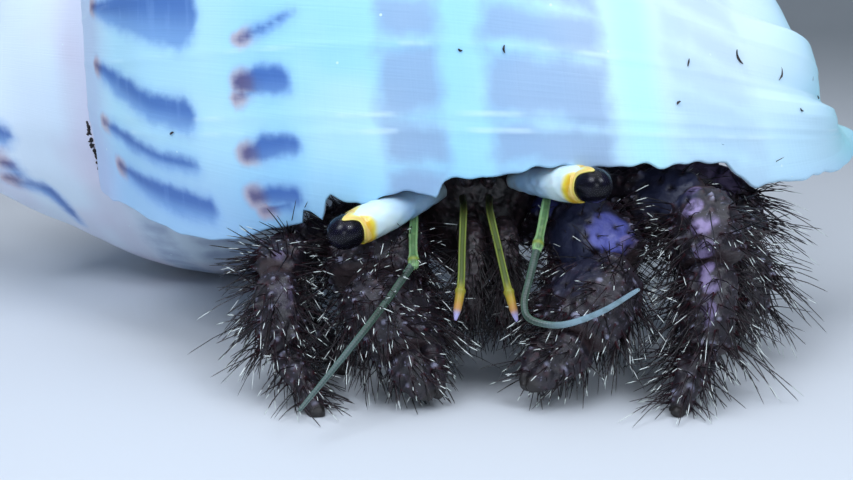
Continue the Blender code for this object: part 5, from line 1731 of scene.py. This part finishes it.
def build_abdomen(finish):
    """Soft hind body: a tapering tube along the shell's own spiral, with shallow folds."""
    u = np.linspace(ABDOMEN_FROM, ABDOMEN_TO, 13)
    route = spiral_point(u, np.full(13, ABDOMEN_H), np.full(13, ABDOMEN_R))
    taper = ABDOMEN_TIP / ABDOMEN_RADIUS
    outline = ((0.0, 0.0), (0.0, 0.42), (0.01, 0.66), (0.06, 0.90), (0.14, 0.98),
               (0.5, 0.5 + taper / 2 + 0.02), (0.9, taper + 0.08), (0.98, taper * 0.8),
               (1.0, taper * 0.4), (1.0, 0.0))
    shape = sweep(list(route), outline, 2 * ABDOMEN_RADIUS, 2 * ABDOMEN_RADIUS, AXIS,
                  step=0.45, power=2.0)
    grid = shape["points"]
    reach = shape["fraction"] * shape["length"]
    folds = 0.22 * np.cos(reach / FOLD_PITCH * 2 * np.pi)[:, None] + 0.12 * lumps(grid, 4.0, 91)
    grid = grid + outward(grid, shape["centre"]) * folds[..., None]
    put_tube("abdomen_skin", grid, {}, finish, "soft_abdomen", "abdomen")


# ==================== stage
def build_floor(look):
    """Round pale floor that curves up into a wall all round."""
    bend = np.linspace(0, math.pi / 2, 17)
    out = np.concatenate([[0.0, 150.0, 350.0], FLOOR_RADIUS + FLOOR_TURN * np.sin(bend),
                          [FLOOR_RADIUS + FLOOR_TURN]])
    up = np.concatenate([[0.0] * 3, FLOOR_TURN * (1 - np.cos(bend)), [WALL_TOP]])
    angle = ring_angles(96)
    grid = np.stack([out[:, None] * np.cos(angle), out[:, None] * np.sin(angle),
                     np.broadcast_to(up[:, None], (len(up), len(angle)))], -1)
    mesh = bpy.data.meshes.new("studio_floor")
    mesh.from_pydata(((grid.reshape(-1, 3) - ORIGIN) * MM).tolist(), [],
                     grid_faces(len(out), len(angle)).tolist())
    mesh.shade_smooth()
    mesh.materials.append(studio_paint(look))
    floor = bpy.data.objects.new("studio_floor", mesh)
    bpy.context.scene.collection.objects.link(floor)


def build_lights(look):
    """Soft area lights that look at the crab, and even light from all round."""
    for name, (at, size, power, share, colour) in LIGHTS.items():
        light = bpy.data.lights.new(name, "AREA")
        light.shape = "SQUARE"
        light.size = size * MM
        light.energy = getattr(look, power) * share
        light.color = hex_linear(colour)
        lamp = bpy.data.objects.new(name, light)
        way = unit(LIGHTS_AIM - np.array(at))
        lamp.location = (np.array(at) - ORIGIN) * MM
        lamp.rotation_euler = (math.acos(-way[2]), 0.0, math.atan2(way[0], -way[1]) + math.pi)
        bpy.context.scene.collection.objects.link(lamp)
    world = bpy.data.worlds.new("studio_air")
    world.use_nodes = True
    background = world.node_tree.nodes["Background"]
    background.inputs["Color"].default_value = rgba("DCE8F4")
    background.inputs["Strength"].default_value = look.air_strength
    bpy.context.scene.world = world


def build_camera():
    """The camera of the first view, and plain colours."""
    bpy.context.scene.view_settings.view_transform = "Standard"
    data = bpy.data.cameras.new("camera")
    data.sensor_width = SENSOR
    data.sensor_fit = "HORIZONTAL"
    data.lens = SENSOR / 2 / math.tan(math.radians(CAMERA_FIELD / 2))
    data.clip_start, data.clip_end = 1 * MM, 5.0
    camera = bpy.data.objects.new("camera", data)
    camera.location = (np.array(CAMERA_AT) - ORIGIN) * MM
    camera.rotation_euler = (math.radians(90.0 - CAMERA_DIP), 0.0, 0.0)
    bpy.context.scene.collection.objects.link(camera)
    bpy.context.scene.camera = camera


# ==================== add-on
def colour_property(name, description, text):
    """A colour setting whose default is an sRGB hex text."""
    return FloatVectorProperty(name=name, description=description, subtype="COLOR", size=3,
                               min=0.0, max=1.0, default=hex_linear(text))


def number_property(name, description, default, low, high, **kind):
    """A number setting between two limits."""
    return FloatProperty(name=name, description=description, default=default, min=low,
                         max=high, **kind)


class CrabShellSettings(bpy.types.PropertyGroup):
    """Looks of the shell."""
    base_colour: colour_property("Glaze", "Colour of the bare glaze", "9FDAF6")
    stroke_colour: colour_property("Strokes", "Colour of the painted strokes", "3A66B2")
    square_strength: number_property("Squares", "Strength of the pale squares", 0.66, 0.0, 1.0,
                                     subtype="FACTOR")
    clearness: number_property("Clearness", "Light carried under the glaze", 0.06, 0.0, 1.0,
                               subtype="FACTOR")


class CrabLimbSettings(bpy.types.PropertyGroup):
    """Looks of the limb plates and their coat, in millimetres."""
    dark_colour: colour_property("Plate", "Colour between the scales", "130E16")
    scale_colour: colour_property("Scales", "Colour on the scales' tops", "9496AE")
    scale_spacing: number_property("Scale spacing", "Mm between scales", 1.00, 0.4, 3.0)
    scale_height: number_property("Scale height", "Mm a scale stands up", 0.20, 0.0, 0.6)
    bristle_length: number_property("Bristle length", "Mm of a usual bristle", 3.2, 0.5, 8.0)
    bristle_thickness: number_property("Bristle thickness", "Mm at the root", 0.125, 0.05, 0.5)
    bristle_spread: number_property("Bristle spread", "How widely a fan opens", 0.30, 0.0, 1.0)


class CrabHeadSettings(bpy.types.PropertyGroup):
    """Colours of the eyes and feelers."""
    stalk_colour: colour_property("Eyestalk", "Pale cuticle of the eyestalk", "A6C8E4")
    collar_colour: colour_property("Collar", "Ring beside the eye", "F0DC48")
    feeler_colour: colour_property("Antennule", "Light edges of the antennule", "93A24E")
    whip_colour: colour_property("Whip", "Antenna's whip", "8AA6B4")


class CrabStageSettings(bpy.types.PropertyGroup):
    """Floor and lights."""
    floor_colour: colour_property("Floor", "Paint of the floor and backdrop", "DADFE4")
    key_power: number_property("Key lights", "Watts of each front light", 0.34, 0.0, 50.0,
                               subtype="POWER", unit="POWER")
    top_power: number_property("Overhead", "Watts of the overhead light", 0.44, 0.0, 50.0,
                               subtype="POWER", unit="POWER")
    air_strength: number_property("Air", "Strength of the light all round", 0.30, 0.0, 5.0)


class CRAB_OT_shell(bpy.types.Operator):
    """Build the shell's wall, its pillar and the grains stuck to it"""
    bl_idname = "crab.shell"
    bl_label = "Shell"

    def execute(self, context):
        look = context.scene.crab_shell
        finish = glazed_shell(look)
        build_shell_wall(finish)
        build_columella(finish)
        build_debris(dry_grit())
        return {"FINISHED"}


class CRAB_OT_limbs(bpy.types.Operator):
    """Build the plates of the claws and walking legs with their coats of bristles"""
    bl_idname = "crab.limbs"
    bl_label = "Limbs and bristles"

    def execute(self, context):
        look = context.scene.crab_limbs
        plate, bristle = cuticle(look), bristle_horn()
        for limb in LIMBS:
            grow_bristles(limb, build_plates(limb, look, plate), look, bristle)
        return {"FINISHED"}


class CRAB_OT_eyes(bpy.types.Operator):
    """Build both eyes with their stalks"""
    bl_idname = "crab.eyes"
    bl_label = "Eyes"

    def execute(self, context):
        finishes = eyestalk_skin(context.scene.crab_head), eye_black(), eye_clear()
        for side in EYES:
            build_eye(side, *finishes)
        return {"FINISHED"}


class CRAB_OT_feelers(bpy.types.Operator):
    """Build the antennules and antennae"""
    bl_idname = "crab.feelers"
    bl_label = "Feelers"

    def execute(self, context):
        look = context.scene.crab_head
        finishes = dict(feeler=feeler_skin(look), stem=peduncle_skin(), whip=flagellum_skin(look))
        build_feelers(finishes)
        return {"FINISHED"}


class CRAB_OT_body(bpy.types.Operator):
    """Build the shield, jaw feet, small legs and hind body"""
    bl_idname = "crab.body"
    bl_label = "Body"

    def execute(self, context):
        finishes = dict(body=body_cuticle(), soft=soft_skin(), bristle=bristle_horn())
        build_body(context.scene.crab_limbs, finishes)
        return {"FINISHED"}


class CRAB_OT_stage(bpy.types.Operator):
    """Build the floor, lights and camera"""
    bl_idname = "crab.stage"
    bl_label = "Stage"

    def execute(self, context):
        build_floor(context.scene.crab_stage)
        build_lights(context.scene.crab_stage)
        build_camera()
        return {"FINISHED"}


OPERATORS = (CRAB_OT_shell, CRAB_OT_limbs, CRAB_OT_eyes, CRAB_OT_feelers, CRAB_OT_body,
             CRAB_OT_stage)
SETTINGS = {"crab_shell": CrabShellSettings, "crab_limbs": CrabLimbSettings,
            "crab_head": CrabHeadSettings, "crab_stage": CrabStageSettings}


class CRAB_PT_panel(bpy.types.Panel):
    """Lists the settings and the operators"""
    bl_idname = "CRAB_PT_panel"
    bl_label = "Hermit Crab Model"
    bl_space_type = "VIEW_3D"
    bl_region_type = "UI"
    bl_category = "Crab"

    def draw(self, context):
        for key in SETTINGS:
            group = getattr(context.scene, key)
            box = self.layout.box()
            for name in group.bl_rna.properties.keys():
                if name not in ("rna_type", "name"):
                    box.prop(group, name)
        for operator in OPERATORS:
            self.layout.operator(operator.bl_idname)


def register():
    for cls in (*SETTINGS.values(), *OPERATORS, CRAB_PT_panel):
        bpy.utils.register_class(cls)
    for key, cls in SETTINGS.items():
        setattr(bpy.types.Scene, key, PointerProperty(type=cls))


def unregister():
    for key in SETTINGS:
        delattr(bpy.types.Scene, key)
    for cls in reversed((*SETTINGS.values(), *OPERATORS, CRAB_PT_panel)):
        bpy.utils.unregister_class(cls)


def main():
    register()
    for operator in OPERATORS:
        group, name = operator.bl_idname.split(".")
        getattr(getattr(bpy.ops, group), name)()


if __name__ == "__main__":
    main()
